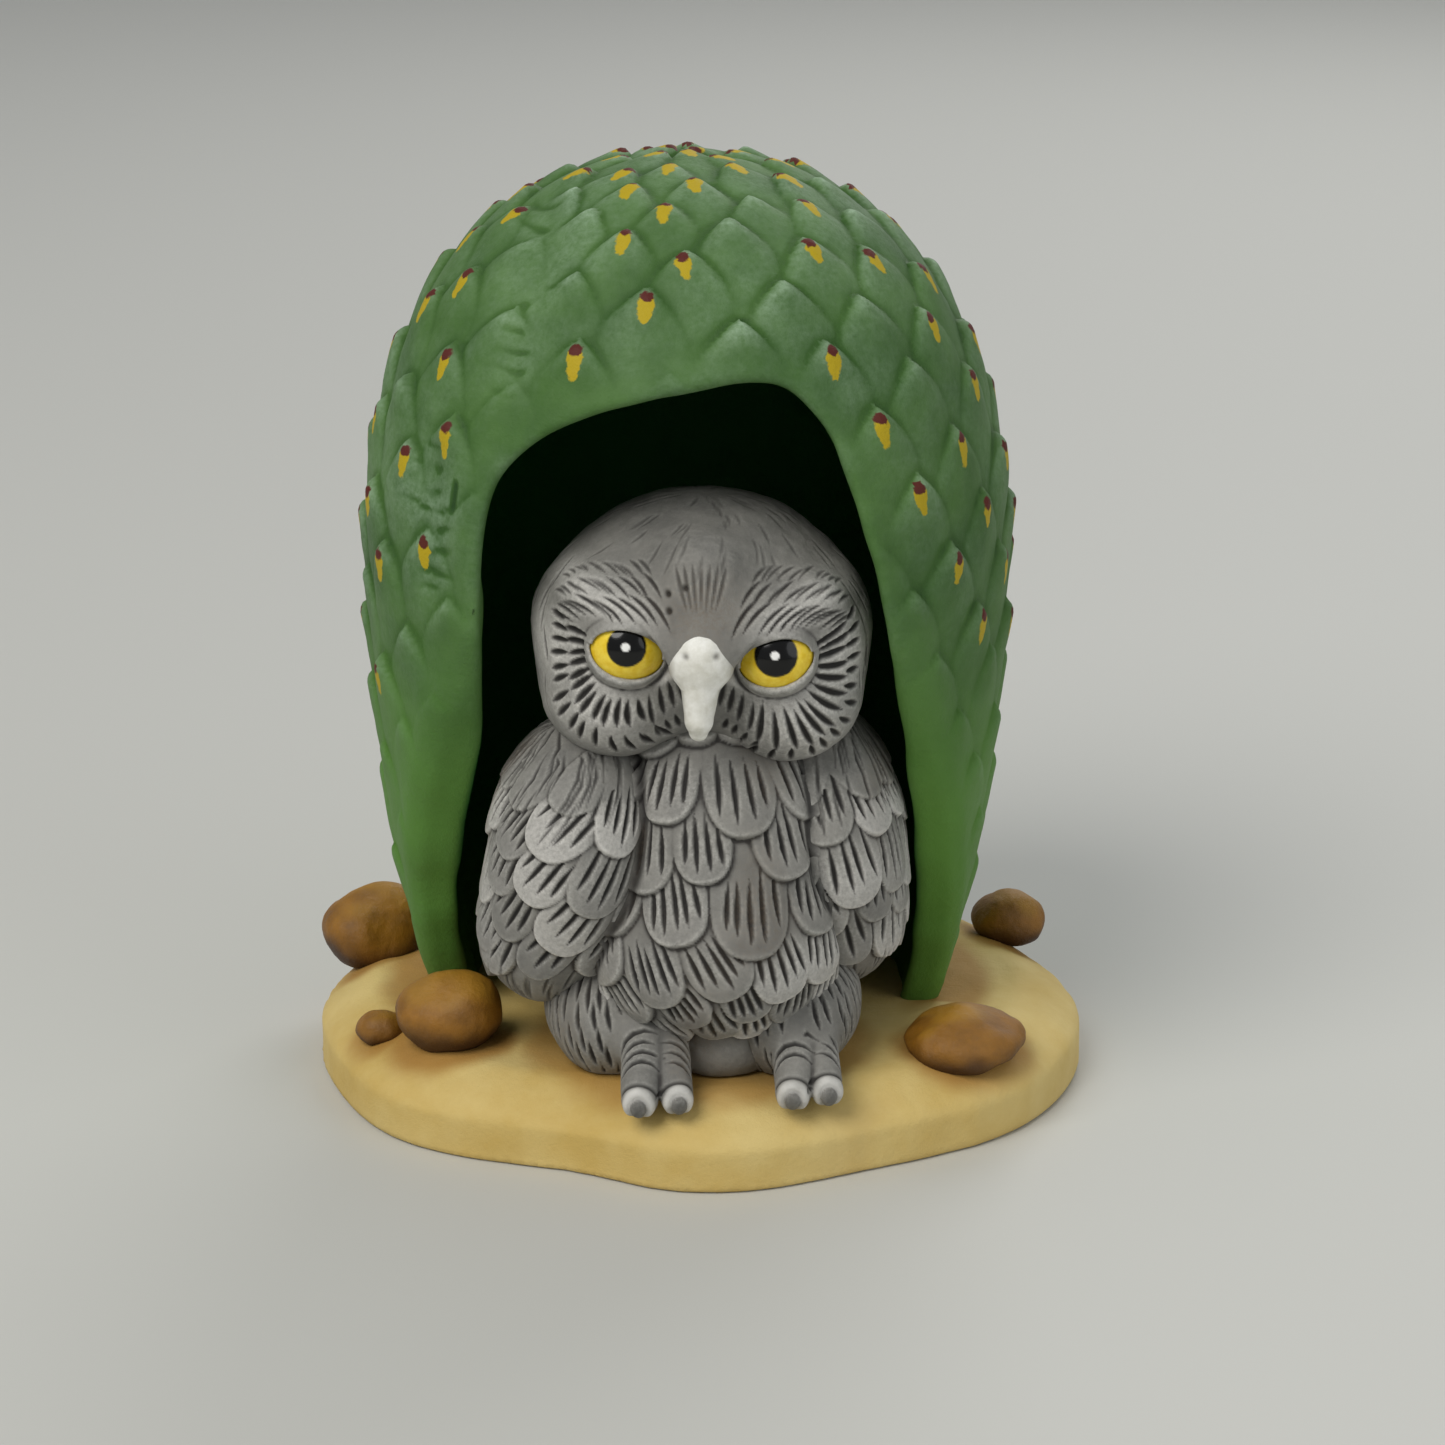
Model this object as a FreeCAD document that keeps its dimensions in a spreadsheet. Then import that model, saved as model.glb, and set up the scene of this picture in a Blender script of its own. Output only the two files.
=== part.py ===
import FreeCAD, Part

"""Owl figurine: an owl on a sand-coloured base, sheltered by a hollow cactus shell with an arched opening.

The figurine is painted bisque porcelain. It is slip-cast in sections that are luted together before firing:
a base with a hollow underside, a hollow shell that stands in a seat groove, an owl of hollow head and torso
with wings, legs and a beak, glazed eye domes, claws, and five applied stones.
The frame is in millimetres, +Z up, with the origin under the centre of the figurine. The front is -Y.
Left and right are as seen from the front.
"""

import math
import os

import Sketcher
from FreeCAD import Placement, Rotation, Vector

DIMENSIONS = {
    # base
    "base_radius": 42.0,
    "base_height": 9.0,
    "recess_depth": 5.0,
    "vent_radius": 1.5,
    # cactus shell
    "shell_radius": 35.4,
    "shell_widest": 58.0,
    "shell_top": 103.0,
    "shell_lower_reach": 75.0,
    "shell_wall": 5.5,
    "shell_x": -1.2,
    "shell_y": -1.5,
    "seat_depth": 1.0,
    "opening_width": 46.0,
    "opening_top": 84.3,
    "leg_front": 8.0,
    "hood_front": 31.0,
    "hood_height": 60.0,
    # owl
    "owl_y": -17.0,
    "torso_width": 39.0,
    "torso_depth": 37.0,
    "chest_width": 33.0,
    "chest_centre": 33.0,
    "owl_wall": 3.5,
    "neck_radius": 7.0,
    "neck_top": 49.5,
    "head_width": 35.8,
    "head_depth": 31.0,
    "head_height": 25.6,
    "head_centre": 57.5,
    "cheek_width": 18.4,
    "eye_radius": 4.4,
    "eye_height": 56.8,
    "eye_spacing": 15.2,
    "beak_length": 10.0,
    "wing_length": 34.0,
    "wing_depth": 26.0,
    "wing_thickness": 18.0,
    "thigh_width": 16.4,
    "toe_length": 13.0,
    "toe_width": 3.8,
    "claw_width": 2.7,
}
SHELL_ROUNDNESS = 2.3  # exponent of the dome's profile: 2 is an ellipse, more is squarer
DOME_LEVELS = (-0.72, -0.56, -0.4, -0.26, -0.12, 0.0, 0.2, 0.42, 0.62, 0.78, 0.9, 0.965, 0.996)
PARTS_FOLDER = "parts"

doc = FreeCAD.newDocument("owl_figurine")
sheet = doc.addObject("Spreadsheet::Sheet", "Dims")
for row, (alias, size) in enumerate(DIMENSIONS.items(), start=1):
    sheet.set(f"A{row}", alias)
    sheet.set(f"B{row}", str(size))
    sheet.setAlias(f"B{row}", alias)
doc.recompute()

nodes = {}


def new_body(label):
    body = doc.addObject("PartDesign::Body", label)
    body.Label = label
    return body


def attach(feature, body, role="XY_Plane"):
    """Attaches a feature to one of its own body's origin planes."""
    plane = next(o for o in body.Origin.OriginFeatures if o.Role == role)
    feature.AttachmentSupport = (plane, [""])
    feature.MapMode = "FlatFace"


def place(feature, centre):
    """Binds the offset of an attached feature to three expressions or numbers, in mm."""
    for axis, expression in zip("xyz", centre):
        feature.setExpression(f".AttachmentOffset.Base.{axis}", str(expression))


def ellipsoid(body, name, centre, radii, turn=(0, 0, 0)):
    """An ellipsoid from its centre and its x, y and z radii; turn is yaw, pitch and roll in degrees."""
    feature = body.newObject("PartDesign::AdditiveEllipsoid", name)
    attach(feature, body)
    feature.AttachmentOffset = Placement(Vector(), Rotation(*turn))
    place(feature, centre)
    feature.setExpression("Radius2", str(radii[0]))
    feature.setExpression("Radius3", str(radii[1]))
    feature.setExpression("Radius1", str(radii[2]))
    return feature


def cylinder(body, name, bottom, radius, height):
    """An upright cylinder from the centre of its bottom face."""
    feature = body.newObject("PartDesign::AdditiveCylinder", name)
    attach(feature, body)
    place(feature, bottom)
    feature.setExpression("Radius", str(radius))
    feature.setExpression("Height", str(height))
    return feature


def cut_below(body, height):
    """Cuts a body flat at a height, so that it stands on a level surface there."""
    reach = 120.0
    feature = body.newObject("PartDesign::SubtractiveBox", f"{body.Name}_flat")
    attach(feature, body)
    feature.Length = 2 * reach
    feature.Width = 2 * reach
    feature.Height = reach
    place(feature, (-reach, -reach, f"{height} - {reach}"))
    return feature


def loft(body, name, sketches, subtract=False):
    """A smooth loft through closed sketches, from the first to the last."""
    kind = "Subtractive" if subtract else "Additive"
    doc.recompute()
    feature = body.newObject(f"PartDesign::{kind}Loft", name)
    feature.Profile = sketches[0]
    feature.Sections = sketches[1:]
    feature.Ruled = False
    feature.Closed = False
    return feature


def bind_point(sketch, item, start, across, along, position=3):
    """Dimensions a sketch point from the sketch's origin, and binds both dimensions to expressions."""
    for axis, distance, expression in (("X", start.x, across), ("Y", start.y, along)):
        constraint = Sketcher.Constraint(f"Distance{axis}", -1, 1, item, position, distance)
        index = sketch.addConstraint(constraint)
        sketch.setExpression(f"Constraints[{index}]", expression)


def circle_sketch(body, name, centre, radius):
    """A level circle whose place and radius are bound to expressions."""
    sketch = body.newObject("Sketcher::SketchObject", name)
    attach(sketch, body)
    place(sketch, centre)
    sketch.addGeometry(Part.Circle(Vector(), Vector(0, 0, 1), 10.0))
    sketch.addConstraint(Sketcher.Constraint("Coincident", 0, 3, -1, 1))
    sketch.addConstraint(Sketcher.Constraint("Radius", 0, 10.0))
    sketch.setExpression("Constraints[1]", radius)
    return sketch


def spline(body, name, corners, role="XY_Plane", height=0):
    """A closed smooth curve whose control points are bound: a corner is (alias, share, alias, share)."""
    sketch = body.newObject("Sketcher::SketchObject", name)
    attach(sketch, body, role)
    place(sketch, (0, 0, height))
    places = []
    for x_alias, x_share, y_alias, y_share in corners:
        places.append(Vector(DIMENSIONS[x_alias] * x_share, DIMENSIONS[y_alias] * y_share, 0))
    for corner in places:
        sketch.addGeometry(Part.Circle(corner, Vector(0, 0, 1), 1.0), True)
    curve = Part.BSplineCurve(places, None, None, True, 3, None, False)
    curve_index = sketch.addGeometry(curve, False)
    sketch.addConstraint(Sketcher.Constraint("Weight", 0, 1.0))
    for index in range(1, len(places)):
        sketch.addConstraint(Sketcher.Constraint("Equal", 0, index))
    for index, corner in enumerate(places):
        alignment = "InternalAlignment:Sketcher::BSplineControlPoint"
        sketch.addConstraint(Sketcher.Constraint(alignment, index, 3, curve_index, index))
        x_alias, x_share, y_alias, y_share = corners[index]
        across = f"Dims.{x_alias} * {x_share:.5f}"
        along = f"Dims.{y_alias} * {y_share:.5f}"
        bind_point(sketch, index, corner, across, along)
    return sketch


def polygon(body, name, corners, role="XY_Plane"):
    """A closed polygon in an origin plane; a corner is (alias, share, alias, share)."""
    sketch = body.newObject("Sketcher::SketchObject", name)
    attach(sketch, body, role)
    places = []
    for x_alias, x_share, y_alias, y_share in corners:
        places.append(Vector(DIMENSIONS[x_alias] * x_share, DIMENSIONS[y_alias] * y_share, 0))
    for start, end in zip(places, places[1:] + places[:1]):
        sketch.addGeometry(Part.LineSegment(start, end))
    for index, corner in enumerate(places):
        following = (index + 1) % len(places)
        sketch.addConstraint(Sketcher.Constraint("Coincident", index, 2, following, 1))
    for index, corner in enumerate(places):
        x_alias, x_share, y_alias, y_share = corners[index]
        across = f"Dims.{x_alias} * {x_share}"
        along = f"Dims.{y_alias} * {y_share}"
        bind_point(sketch, index, corner, across, along, position=1)
    return sketch


def base_outline(body, name, height, scale):
    """The base's lobed outline, with a tongue at the front for the owl's feet."""
    shares = {
        0: 1.06, 18: 1.01, 36: 0.99, 54: 0.96, 72: 0.96, 90: 0.96, 108: 0.96, 126: 0.98, 144: 1.0,
        162: 1.03, 180: 1.05, 198: 1.01, 216: 1.03, 234: 0.93, 252: 0.86, 270: 0.99, 288: 0.93,
        306: 0.93, 324: 1.02, 342: 1.04,
    }
    corners = []
    for angle, share in shares.items():
        reach = scale * share
        turn = math.radians(angle)
        corners.append(("base_radius", reach * math.cos(turn), "base_radius", reach * math.sin(turn)))
    return spline(body, name, corners, height=height)


def fitted(label, base, *neighbours):
    """The finished piece: a body less its neighbours, so that luted pieces meet face to face."""
    tool = neighbours[0]
    if len(neighbours) > 1:
        tool = doc.addObject("Part::MultiFuse", f"{label}_neighbours")
        tool.Shapes = list(neighbours)
    result = doc.addObject("Part::Cut", f"{label}_fitted")
    result.Base = base
    result.Tool = tool
    nodes[label] = result
    return result


# ---------------------------------------------------------------- base and shell


def make_base_blank():
    """The sand base: a low steep rim, then a slope up to a flat top."""
    body = new_body("base_blank")
    profile = {0.0: 0.985, 0.16: 1.0, 0.4: 0.995, 0.62: 0.955, 0.82: 0.885, 0.94: 0.80, 1.0: 0.70}
    sketches = []
    for index, (level, scale) in enumerate(profile.items()):
        height = f"Dims.base_height * {level}"
        sketches.append(base_outline(body, f"base_level_{index}", height, scale))
    loft(body, "base_loft", sketches)
    return body


def make_base_hollow():
    """The recess in the underside, and the vent under the owl."""
    body = new_body("base_hollow")
    sketches = []
    for index, (level, scale) in enumerate({0.0: 0.80, 0.5: 0.79, 1.0: 0.72}.items()):
        height = f"Dims.recess_depth * {level}"
        sketches.append(base_outline(body, f"recess_level_{index}", height, scale))
    loft(body, "recess_loft", sketches)
    cylinder(body, "base_vent", (0, "Dims.owl_y", 1), "Dims.vent_radius", "Dims.base_height")
    return body


def dome(body, name, wall, subtract=False):
    """A dome lofted through level circles; its profile is a superellipse, squarer than an ellipse."""
    sketches = []
    for index, level in enumerate(DOME_LEVELS):
        reach = f"(Dims.shell_top - {wall} - Dims.shell_widest)"
        if level < 0:
            reach = "Dims.shell_lower_reach"
        share = (1 - abs(level) ** SHELL_ROUNDNESS) ** (1 / SHELL_ROUNDNESS)
        centre = ("Dims.shell_x", "Dims.shell_y", f"Dims.shell_widest + {reach} * {level}")
        radius = f"(Dims.shell_radius - {wall}) * {share:.5f}"
        sketches.append(circle_sketch(body, f"{name}_level_{index}", centre, radius))
    return loft(body, name, sketches, subtract)


def make_shell():
    """The cactus shell: a hollow dome with an arched opening that leans back towards the base."""
    body = new_body("shell_blank")
    dome(body, "outer", "0")
    dome(body, "inner", "Dims.shell_wall", subtract=True)
    cut_below(body, "Dims.base_height - Dims.seat_depth")

    arch = (
        (-0.485, -0.10), (-0.485, 0.25), (-0.485, 0.60), (-0.485, 0.83), (-0.42, 0.905), (-0.27, 0.96),
        (-0.08, 0.99), (0.10, 1.01), (0.21, 1.0), (0.30, 0.94), (0.36, 0.85), (0.42, 0.72),
        (0.47, 0.57), (0.50, 0.40), (0.50, 0.24), (0.455, 0.11), (0.43, -0.10),
    )
    corners = [("opening_width", x, "opening_top", z) for x, z in arch]
    opening = body.newObject("PartDesign::Pocket", "opening")
    opening.Profile = spline(body, "arch", corners, role="XZ_Plane")
    opening.Length = 60
    opening.Reversed = True

    slant = (
        ("leg_front", -1.0, "base_height", -0.5), ("leg_front", -1.0, "base_height", 1.0),
        ("hood_front", -1.0, "hood_height", 1.0), ("hood_front", -2.0, "hood_height", 1.0),
        ("hood_front", -2.0, "base_height", -0.5),
    )
    lean = body.newObject("PartDesign::Pocket", "lean")
    lean.Profile = polygon(body, "lean_profile", slant, role="YZ_Plane")
    lean.Midplane = True
    lean.Length = 200
    return body


# ---------------------------------------------------------------- owl


def make_torso_blank():
    """The owl's torso as a filled shape: chest over belly, with a neck stub that the head is luted on."""
    body = new_body("torso_blank")
    y = "Dims.owl_y"
    belly = (0.5, f"{y} - 1.5", "Dims.base_height + 14")
    ellipsoid(body, "belly", belly, ("Dims.torso_width / 2", "Dims.torso_depth / 2", 14.5))
    chest = (0, y, "Dims.chest_centre")
    ellipsoid(body, "chest", chest, ("Dims.chest_width / 2", "Dims.chest_width / 2 - 1", 16))
    cylinder(body, "neck", (0, y, 40), "Dims.neck_radius", "Dims.neck_top - 40")
    cut_below(body, "Dims.base_height")
    return body


def make_torso_hollow():
    """The space left by the slip inside the torso, with the neck bore above it and the vent below it."""
    body = new_body("torso_hollow")
    wall = "Dims.owl_wall"
    belly = (f"Dims.torso_width / 2 - {wall}", f"Dims.torso_depth / 2 - {wall}", 9.5)
    ellipsoid(body, "belly_hollow", (0.5, "Dims.owl_y - 1.5", 23.5), belly)
    chest = (f"Dims.chest_width / 2 - {wall}", f"Dims.chest_width / 2 - 1 - {wall}", 12.5)
    ellipsoid(body, "chest_hollow", (0, "Dims.owl_y", "Dims.chest_centre"), chest)
    cylinder(body, "neck_bore", (0, "Dims.owl_y", 40), "Dims.neck_radius - 3", 15)
    cylinder(body, "torso_vent", (0, "Dims.owl_y", 5), "Dims.vent_radius", 12)
    return body


def make_head_blank():
    """The owl's head as a filled shape: a broad skull with two cheek lobes."""
    body = new_body("head_blank")
    centre = (0.6, "Dims.owl_y - 1.5", "Dims.head_centre")
    radii = ("Dims.head_width / 2", "Dims.head_depth / 2", "Dims.head_height / 2")
    ellipsoid(body, "skull", centre, radii)
    for side in (-1, 1):
        cheek = (0.6 + 8.4 * side, "Dims.owl_y - 3", "Dims.head_centre - 5.5")
        ellipsoid(body, f"cheek_{side + 1}", cheek, ("Dims.cheek_width / 2", 11, 7.8))
    return body


def make_head_hollow():
    """The space inside the head, open to the neck bore below it."""
    body = new_body("head_hollow")
    centre = (0.6, "Dims.owl_y + 1.5", "Dims.head_centre + 1")
    ellipsoid(body, "skull_hollow", centre, ("Dims.head_width / 2 - 5.5", 8.5, 8))
    cylinder(body, "head_vent", (0, "Dims.owl_y", 44), "Dims.neck_radius - 3", 12)
    return body


def make_eye(name, side):
    """A glazed eye dome, seated in a socket; the head leans a little, so one eye sits lower."""
    body = new_body(name)
    radius = "Dims.eye_radius"
    height = f"Dims.eye_height - {0.45 * side}"
    centre = (f"0.6 + Dims.eye_spacing / 2 * {side}", "Dims.owl_y - 12.6", height)
    ellipsoid(body, f"{name}_dome", centre, (radius, radius, radius))
    return body


def make_beak():
    """The beak: a rounded cere with a hooked tip below it."""
    body = new_body("beak_blank")
    ellipsoid(body, "cere", (0.6, "Dims.owl_y - 16.3", 56.6), (3.1, 4, 3.4))
    hook = (1.8, 2.5, "Dims.beak_length / 2")
    ellipsoid(body, "hook", (0.5, "Dims.owl_y - 17.8", 52.6), hook, turn=(0, 0, -8))
    return body


def make_wing(name, centre):
    """A folded wing: a thick leaf shape that tapers to the primaries."""
    body = new_body(name)
    radii = ("Dims.wing_thickness / 2", "Dims.wing_depth / 2", "Dims.wing_length / 2")
    ellipsoid(body, f"{name}_leaf", centre, radii)
    return body


def make_leg(name, centre_x, toe_places):
    """A feathered thigh that stands flat on the base, with two forward toes ending in claws."""
    body = new_body(name)
    thigh = (centre_x, "Dims.owl_y - 5.5", "Dims.base_height + 6")
    ellipsoid(body, f"{name}_thigh", thigh, ("Dims.thigh_width / 2", 10, 7.5))
    for index, (x, y) in enumerate(toe_places):
        toe_centre = (x, y, "Dims.base_height + 1.8")
        toe_radii = ("Dims.toe_width / 2", "Dims.toe_length / 2", 2.2)
        ellipsoid(body, f"{name}_toe_{index}", toe_centre, toe_radii)
        claw_centre = (x, f"{y} - Dims.toe_length / 2 + 0.2", "Dims.base_height + 1.3")
        claw_radii = ("Dims.claw_width / 2", 1.7, 1.4)
        ellipsoid(body, f"{name}_claw_{index}", claw_centre, claw_radii)
    return body


# ---------------------------------------------------------------- stones


def make_stones(base):
    """Five stones on the base: centre, radii and yaw of each. A flat facet seats each one on the sand."""
    stones = {
        "stone_front_left": ((-27.0, -19.0, 11.5), (5.6, 5.0, 5.0), 20),
        "stone_front_left_small": ((-35.0, -14.5, 8.6), (3.1, 2.2, 1.9), -35),
        "stone_front_right": ((29.4, -20.5, 9.5), (6.7, 5.3, 3.4), 15),
        "stone_back_left": ((-37.6, 10.0, 11.0), (6.0, 6.0, 4.5), 0),
        "stone_back_right": ((36.4, 15.5, 10.0), (4.2, 4.0, 3.2), 0),
    }
    for name, (centre, radii, yaw) in stones.items():
        blank = new_body(f"{name}_blank")
        ellipsoid(blank, f"{name}_pebble", centre, radii, turn=(yaw, 0, 0))
        fitted(name, blank, base)


def build():
    base_blank = make_base_blank()
    base_hollow = make_base_hollow()
    shell = make_shell()
    nodes["cactus_shell"] = shell
    fitted("base_slab", base_blank, base_hollow, shell)
    make_stones(base_blank)

    torso = make_torso_blank()
    head = make_head_blank()
    beak = make_beak()
    eye_left = make_eye("eye_left", -1)
    eye_right = make_eye("eye_right", 1)
    nodes["eye_left"] = eye_left
    nodes["eye_right"] = eye_right
    fitted("owl_torso", torso, make_torso_hollow())
    fitted("owl_head", head, make_head_hollow(), torso, eye_left, eye_right, beak)
    fitted("beak", beak, eye_left, eye_right)

    leg_left = make_leg("leg_left_blank", -8.2, ((-5.7, -31.4), (-1.9, -31.0)))
    leg_right = make_leg("leg_right_blank", 8.8, ((10.2, -29.4), (13.8, -28.6)))
    wing_left = make_wing("wing_left_blank", (-14, "Dims.owl_y - 2", 30))
    wing_right = make_wing("wing_right_blank", (14.4, "Dims.owl_y + 1", 30))
    fitted("owl_leg_left", leg_left, torso, base_blank)
    fitted("owl_leg_right", leg_right, torso, base_blank)
    fitted("owl_wing_left", wing_left, torso, head, leg_left)
    fitted("owl_wing_right", wing_right, torso, head, leg_right)


def check_and_write():
    """Recomputes, checks every object and every node's shape, then writes one STEP file per node."""
    doc.recompute()
    for item in doc.Objects:
        if {"Invalid", "Error"} & set(item.State):
            raise RuntimeError(f"{item.Label} is {item.State}")
    os.makedirs(PARTS_FOLDER, exist_ok=True)
    for label, node in nodes.items():
        node.Label = label
        shape = node.Shape
        if shape.isNull() or not shape.isValid() or not shape.Solids:
            raise RuntimeError(f"{label} has a bad shape")
        print(label, len(shape.Solids), "solid", round(shape.Volume, 1), "mm3")
        shape.exportStep(f"{PARTS_FOLDER}/{label}.step")


build()
check_and_write()
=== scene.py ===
import math

import bpy
import numpy as np
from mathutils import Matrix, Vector


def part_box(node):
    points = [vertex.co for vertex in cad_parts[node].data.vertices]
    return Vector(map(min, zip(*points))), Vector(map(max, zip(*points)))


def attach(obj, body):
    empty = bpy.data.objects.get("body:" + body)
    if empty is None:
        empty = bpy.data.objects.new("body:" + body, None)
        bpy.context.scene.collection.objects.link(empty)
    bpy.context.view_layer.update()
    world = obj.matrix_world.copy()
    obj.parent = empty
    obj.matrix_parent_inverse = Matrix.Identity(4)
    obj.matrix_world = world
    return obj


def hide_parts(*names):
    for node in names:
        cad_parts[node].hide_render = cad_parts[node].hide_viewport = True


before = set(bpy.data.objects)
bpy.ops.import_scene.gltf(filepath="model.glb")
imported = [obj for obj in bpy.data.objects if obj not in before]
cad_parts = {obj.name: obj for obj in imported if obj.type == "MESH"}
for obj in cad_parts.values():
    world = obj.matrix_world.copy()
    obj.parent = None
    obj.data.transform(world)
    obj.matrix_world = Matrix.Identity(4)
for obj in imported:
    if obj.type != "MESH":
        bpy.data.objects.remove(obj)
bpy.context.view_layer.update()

MM = 0.001  # the sculpting below is in millimetres, and the meshes are in metres

CAMERA_PLACE = (0.002755, -0.404818, 0.170703)
CAMERA_DOWN = 18  # degrees
CAMERA_LENS = 95
SENSOR_WIDTH = 36
FLOOR_REACH = 3.0
LAMP_TARGET = (0.0, 0.0, 0.05)
WORLD_COLOUR = (0.82, 0.84, 0.86, 1.0)
WORLD_STRENGTH = 0.42

FINENESS = {
    "shell": (0.62, 0.50),
    "base": (0.62, 0.45),
    "stone": (0.30, 0.30),
    "head": (0.33, 0.20),
    "eye": (0.25, 0.16),
    "beak": (0.30, 0.17),
    "torso": (0.36, 0.22),
    "wing": (0.32, 0.19),
    "leg": (0.30, 0.19),
}


# ---- places from the CAD frame


def box_mm(node):
    """The lowest and highest corners of a CAD node in millimetres."""
    low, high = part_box(node)
    return np.array(low) / MM, np.array(high) / MM


def middle(node):
    low, high = box_mm(node)
    return (low + high) / 2


def half_size(node):
    low, high = box_mm(node)
    return (high - low) / 2


# ---- numbers and noise


def smoothstep(low, high, x):
    """Rises smoothly from 0 at low to 1 at high; low may be the larger."""
    t = np.clip((x - low) / (high - low), 0.0, 1.0)
    return t * t * (3.0 - 2.0 * t)


def bell(x, width):
    """A bump of height 1 at 0 that fades out over about the width."""
    return np.exp(-(x / width) ** 2)


def smooth_min(a, b, blend):
    """The smaller of two fields, with a rounded valley of the given width between them."""
    mix = np.clip(0.5 + 0.5 * (b - a) / blend, 0.0, 1.0)
    return b * (1 - mix) + a * mix - blend * mix * (1 - mix)


def smooth_max(a, b, blend):
    """The larger of two fields, with a rounded ridge of the given width between them."""
    return -smooth_min(-a, -b, blend)


def lattice_values(cell, seed):
    """A repeatable random value from -1 to 1 for each whole-numbered cell."""
    x, y, z = (cell[..., k].astype(np.int64) for k in range(3))
    mixed = (x * 374761393 + y * 668265263 + z * 2147483647 + seed * 974634777) & 0xFFFFFFFF
    mixed = ((mixed ^ (mixed >> 13)) * 1274126177) & 0xFFFFFFFF
    mixed = (mixed ^ (mixed >> 16)) & 0xFFFF
    return mixed / 32767.5 - 1.0


def noise(points, size, seed=0):
    """Smooth value noise from -1 to 1 with features of the given size."""
    scaled = points / size
    cell = np.floor(scaled)
    t = scaled - cell
    t = t * t * t * (t * (t * 6 - 15) + 10)
    total = np.zeros(len(points))
    for corner in np.ndindex(2, 2, 2):
        offset = np.array(corner)
        weight = np.prod(np.where(offset == 1, t, 1 - t), axis=1)
        total += weight * lattice_values(cell + offset, seed)
    return total


def rough_noise(points, size, seed=0, layers=3):
    """Layers of noise, each half the size and half the strength of the one before."""
    total = np.zeros(len(points))
    for layer in range(layers):
        total += noise(points, size / 2**layer, seed + 17 * layer) / 2**layer
    return total


def rotation(yaw=0.0, pitch=0.0, roll=0.0):
    """A matrix that turns by roll about X, pitch about Y and yaw about Z, in degrees."""
    cz, sz = math.cos(math.radians(yaw)), math.sin(math.radians(yaw))
    cy, sy = math.cos(math.radians(pitch)), math.sin(math.radians(pitch))
    cx, sx = math.cos(math.radians(roll)), math.sin(math.radians(roll))
    about_z = np.array([[cz, -sz, 0], [sz, cz, 0], [0, 0, 1]])
    about_y = np.array([[cy, 0, sy], [0, 1, 0], [-sy, 0, cy]])
    about_x = np.array([[1, 0, 0], [0, cx, -sx], [0, sx, cx]])
    return about_z @ about_y @ about_x


def unit(vector):
    vector = np.asarray(vector, float)
    return vector / np.maximum(np.linalg.norm(vector, axis=-1, keepdims=True), 1e-9)


# ---- distance fields and meshes


def ellipsoid_field(points, centre, radii, turn=None):
    """About the distance to an ellipsoid, negative inside."""
    local = points - np.asarray(centre, float)
    if turn is not None:
        local = local @ turn
    radii = np.asarray(radii, float)
    near = np.linalg.norm(local / radii, axis=1)
    steep = np.linalg.norm(local / radii**2, axis=1)
    return near * (near - 1.0) / np.maximum(steep, 1e-6)


def capsule_field(points, start, end, start_radius, end_radius):
    """About the distance to a rounded rod that tapers from one end to the other."""
    start, end = np.asarray(start, float), np.asarray(end, float)
    along = end - start
    share = np.clip((points - start) @ along / (along @ along), 0.0, 1.0)
    nearest = start + share[:, None] * along
    return np.linalg.norm(points - nearest, axis=1) - (start_radius + (end_radius - start_radius) * share)


def field_values(field, axes):
    """The field on a grid, worked out slab by slab."""
    y, z = np.meshgrid(axes[1], axes[2], indexing="ij")
    slabs = []
    for x in axes[0]:
        points = np.stack([np.full(y.size, x), y.ravel(), z.ravel()], axis=1)
        slabs.append(field(points).reshape(y.shape))
    return np.array(slabs, dtype=np.float32)


def crossing_sums(values, mixed):
    """For each mixed cell, the mean of the points where the field crosses zero on the cell's edges."""
    cells = np.argwhere(mixed)
    total = np.zeros((len(cells), 3))
    count = np.zeros(len(cells))
    corners = {c: values[tuple((cells + np.array(c)).T)] for c in np.ndindex(2, 2, 2)}
    for axis in range(3):
        for corner in np.ndindex(2, 2, 2):
            if corner[axis] == 1:
                continue
            other = tuple(1 if k == axis else corner[k] for k in range(3))
            a, b = corners[corner], corners[other]
            crosses = (a < 0) != (b < 0)
            share = a / np.where(crosses, a - b, 1.0)
            point = np.tile(np.array(corner, float), (len(cells), 1))
            point[:, axis] += share
            total[crosses] += point[crosses]
            count += crosses
    return cells, cells + total / count[:, None]


def net_faces(inside, number):
    """Four-sided faces that join the cells round each grid edge that the surface crosses."""
    faces = []
    for axis in range(3):
        b, c = (axis + 1) % 3, (axis + 2) % 3
        ahead = [slice(None)] * 3
        here = [slice(None)] * 3
        ahead[axis], here[axis] = slice(1, None), slice(None, -1)
        crosses = inside[tuple(here)] != inside[tuple(ahead)]
        edge = np.argwhere(crosses)
        edge = edge[(edge[:, b] > 0) & (edge[:, c] > 0)]
        edge = edge[(edge[:, b] < inside.shape[b] - 1) & (edge[:, c] < inside.shape[c] - 1)]
        starts_inside = inside[tuple(edge.T)]
        ring = []
        for step_b, step_c in ((-1, -1), (0, -1), (0, 0), (-1, 0)):
            cell = edge.copy()
            cell[:, b] += step_b
            cell[:, c] += step_c
            ring.append(number[tuple(cell.T)])
        quads = np.stack(ring, axis=1)
        quads[~starts_inside] = quads[~starts_inside][:, ::-1]
        faces.append(quads)
    return np.concatenate(faces)


def field_gradient(field, points, reach=0.05):
    """The field's slope in X, Y and Z."""
    slope = np.empty_like(points)
    for axis in range(3):
        offset = np.zeros(3)
        offset[axis] = reach
        slope[:, axis] = (field(points + offset) - field(points - offset)) / (2 * reach)
    return slope


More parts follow.
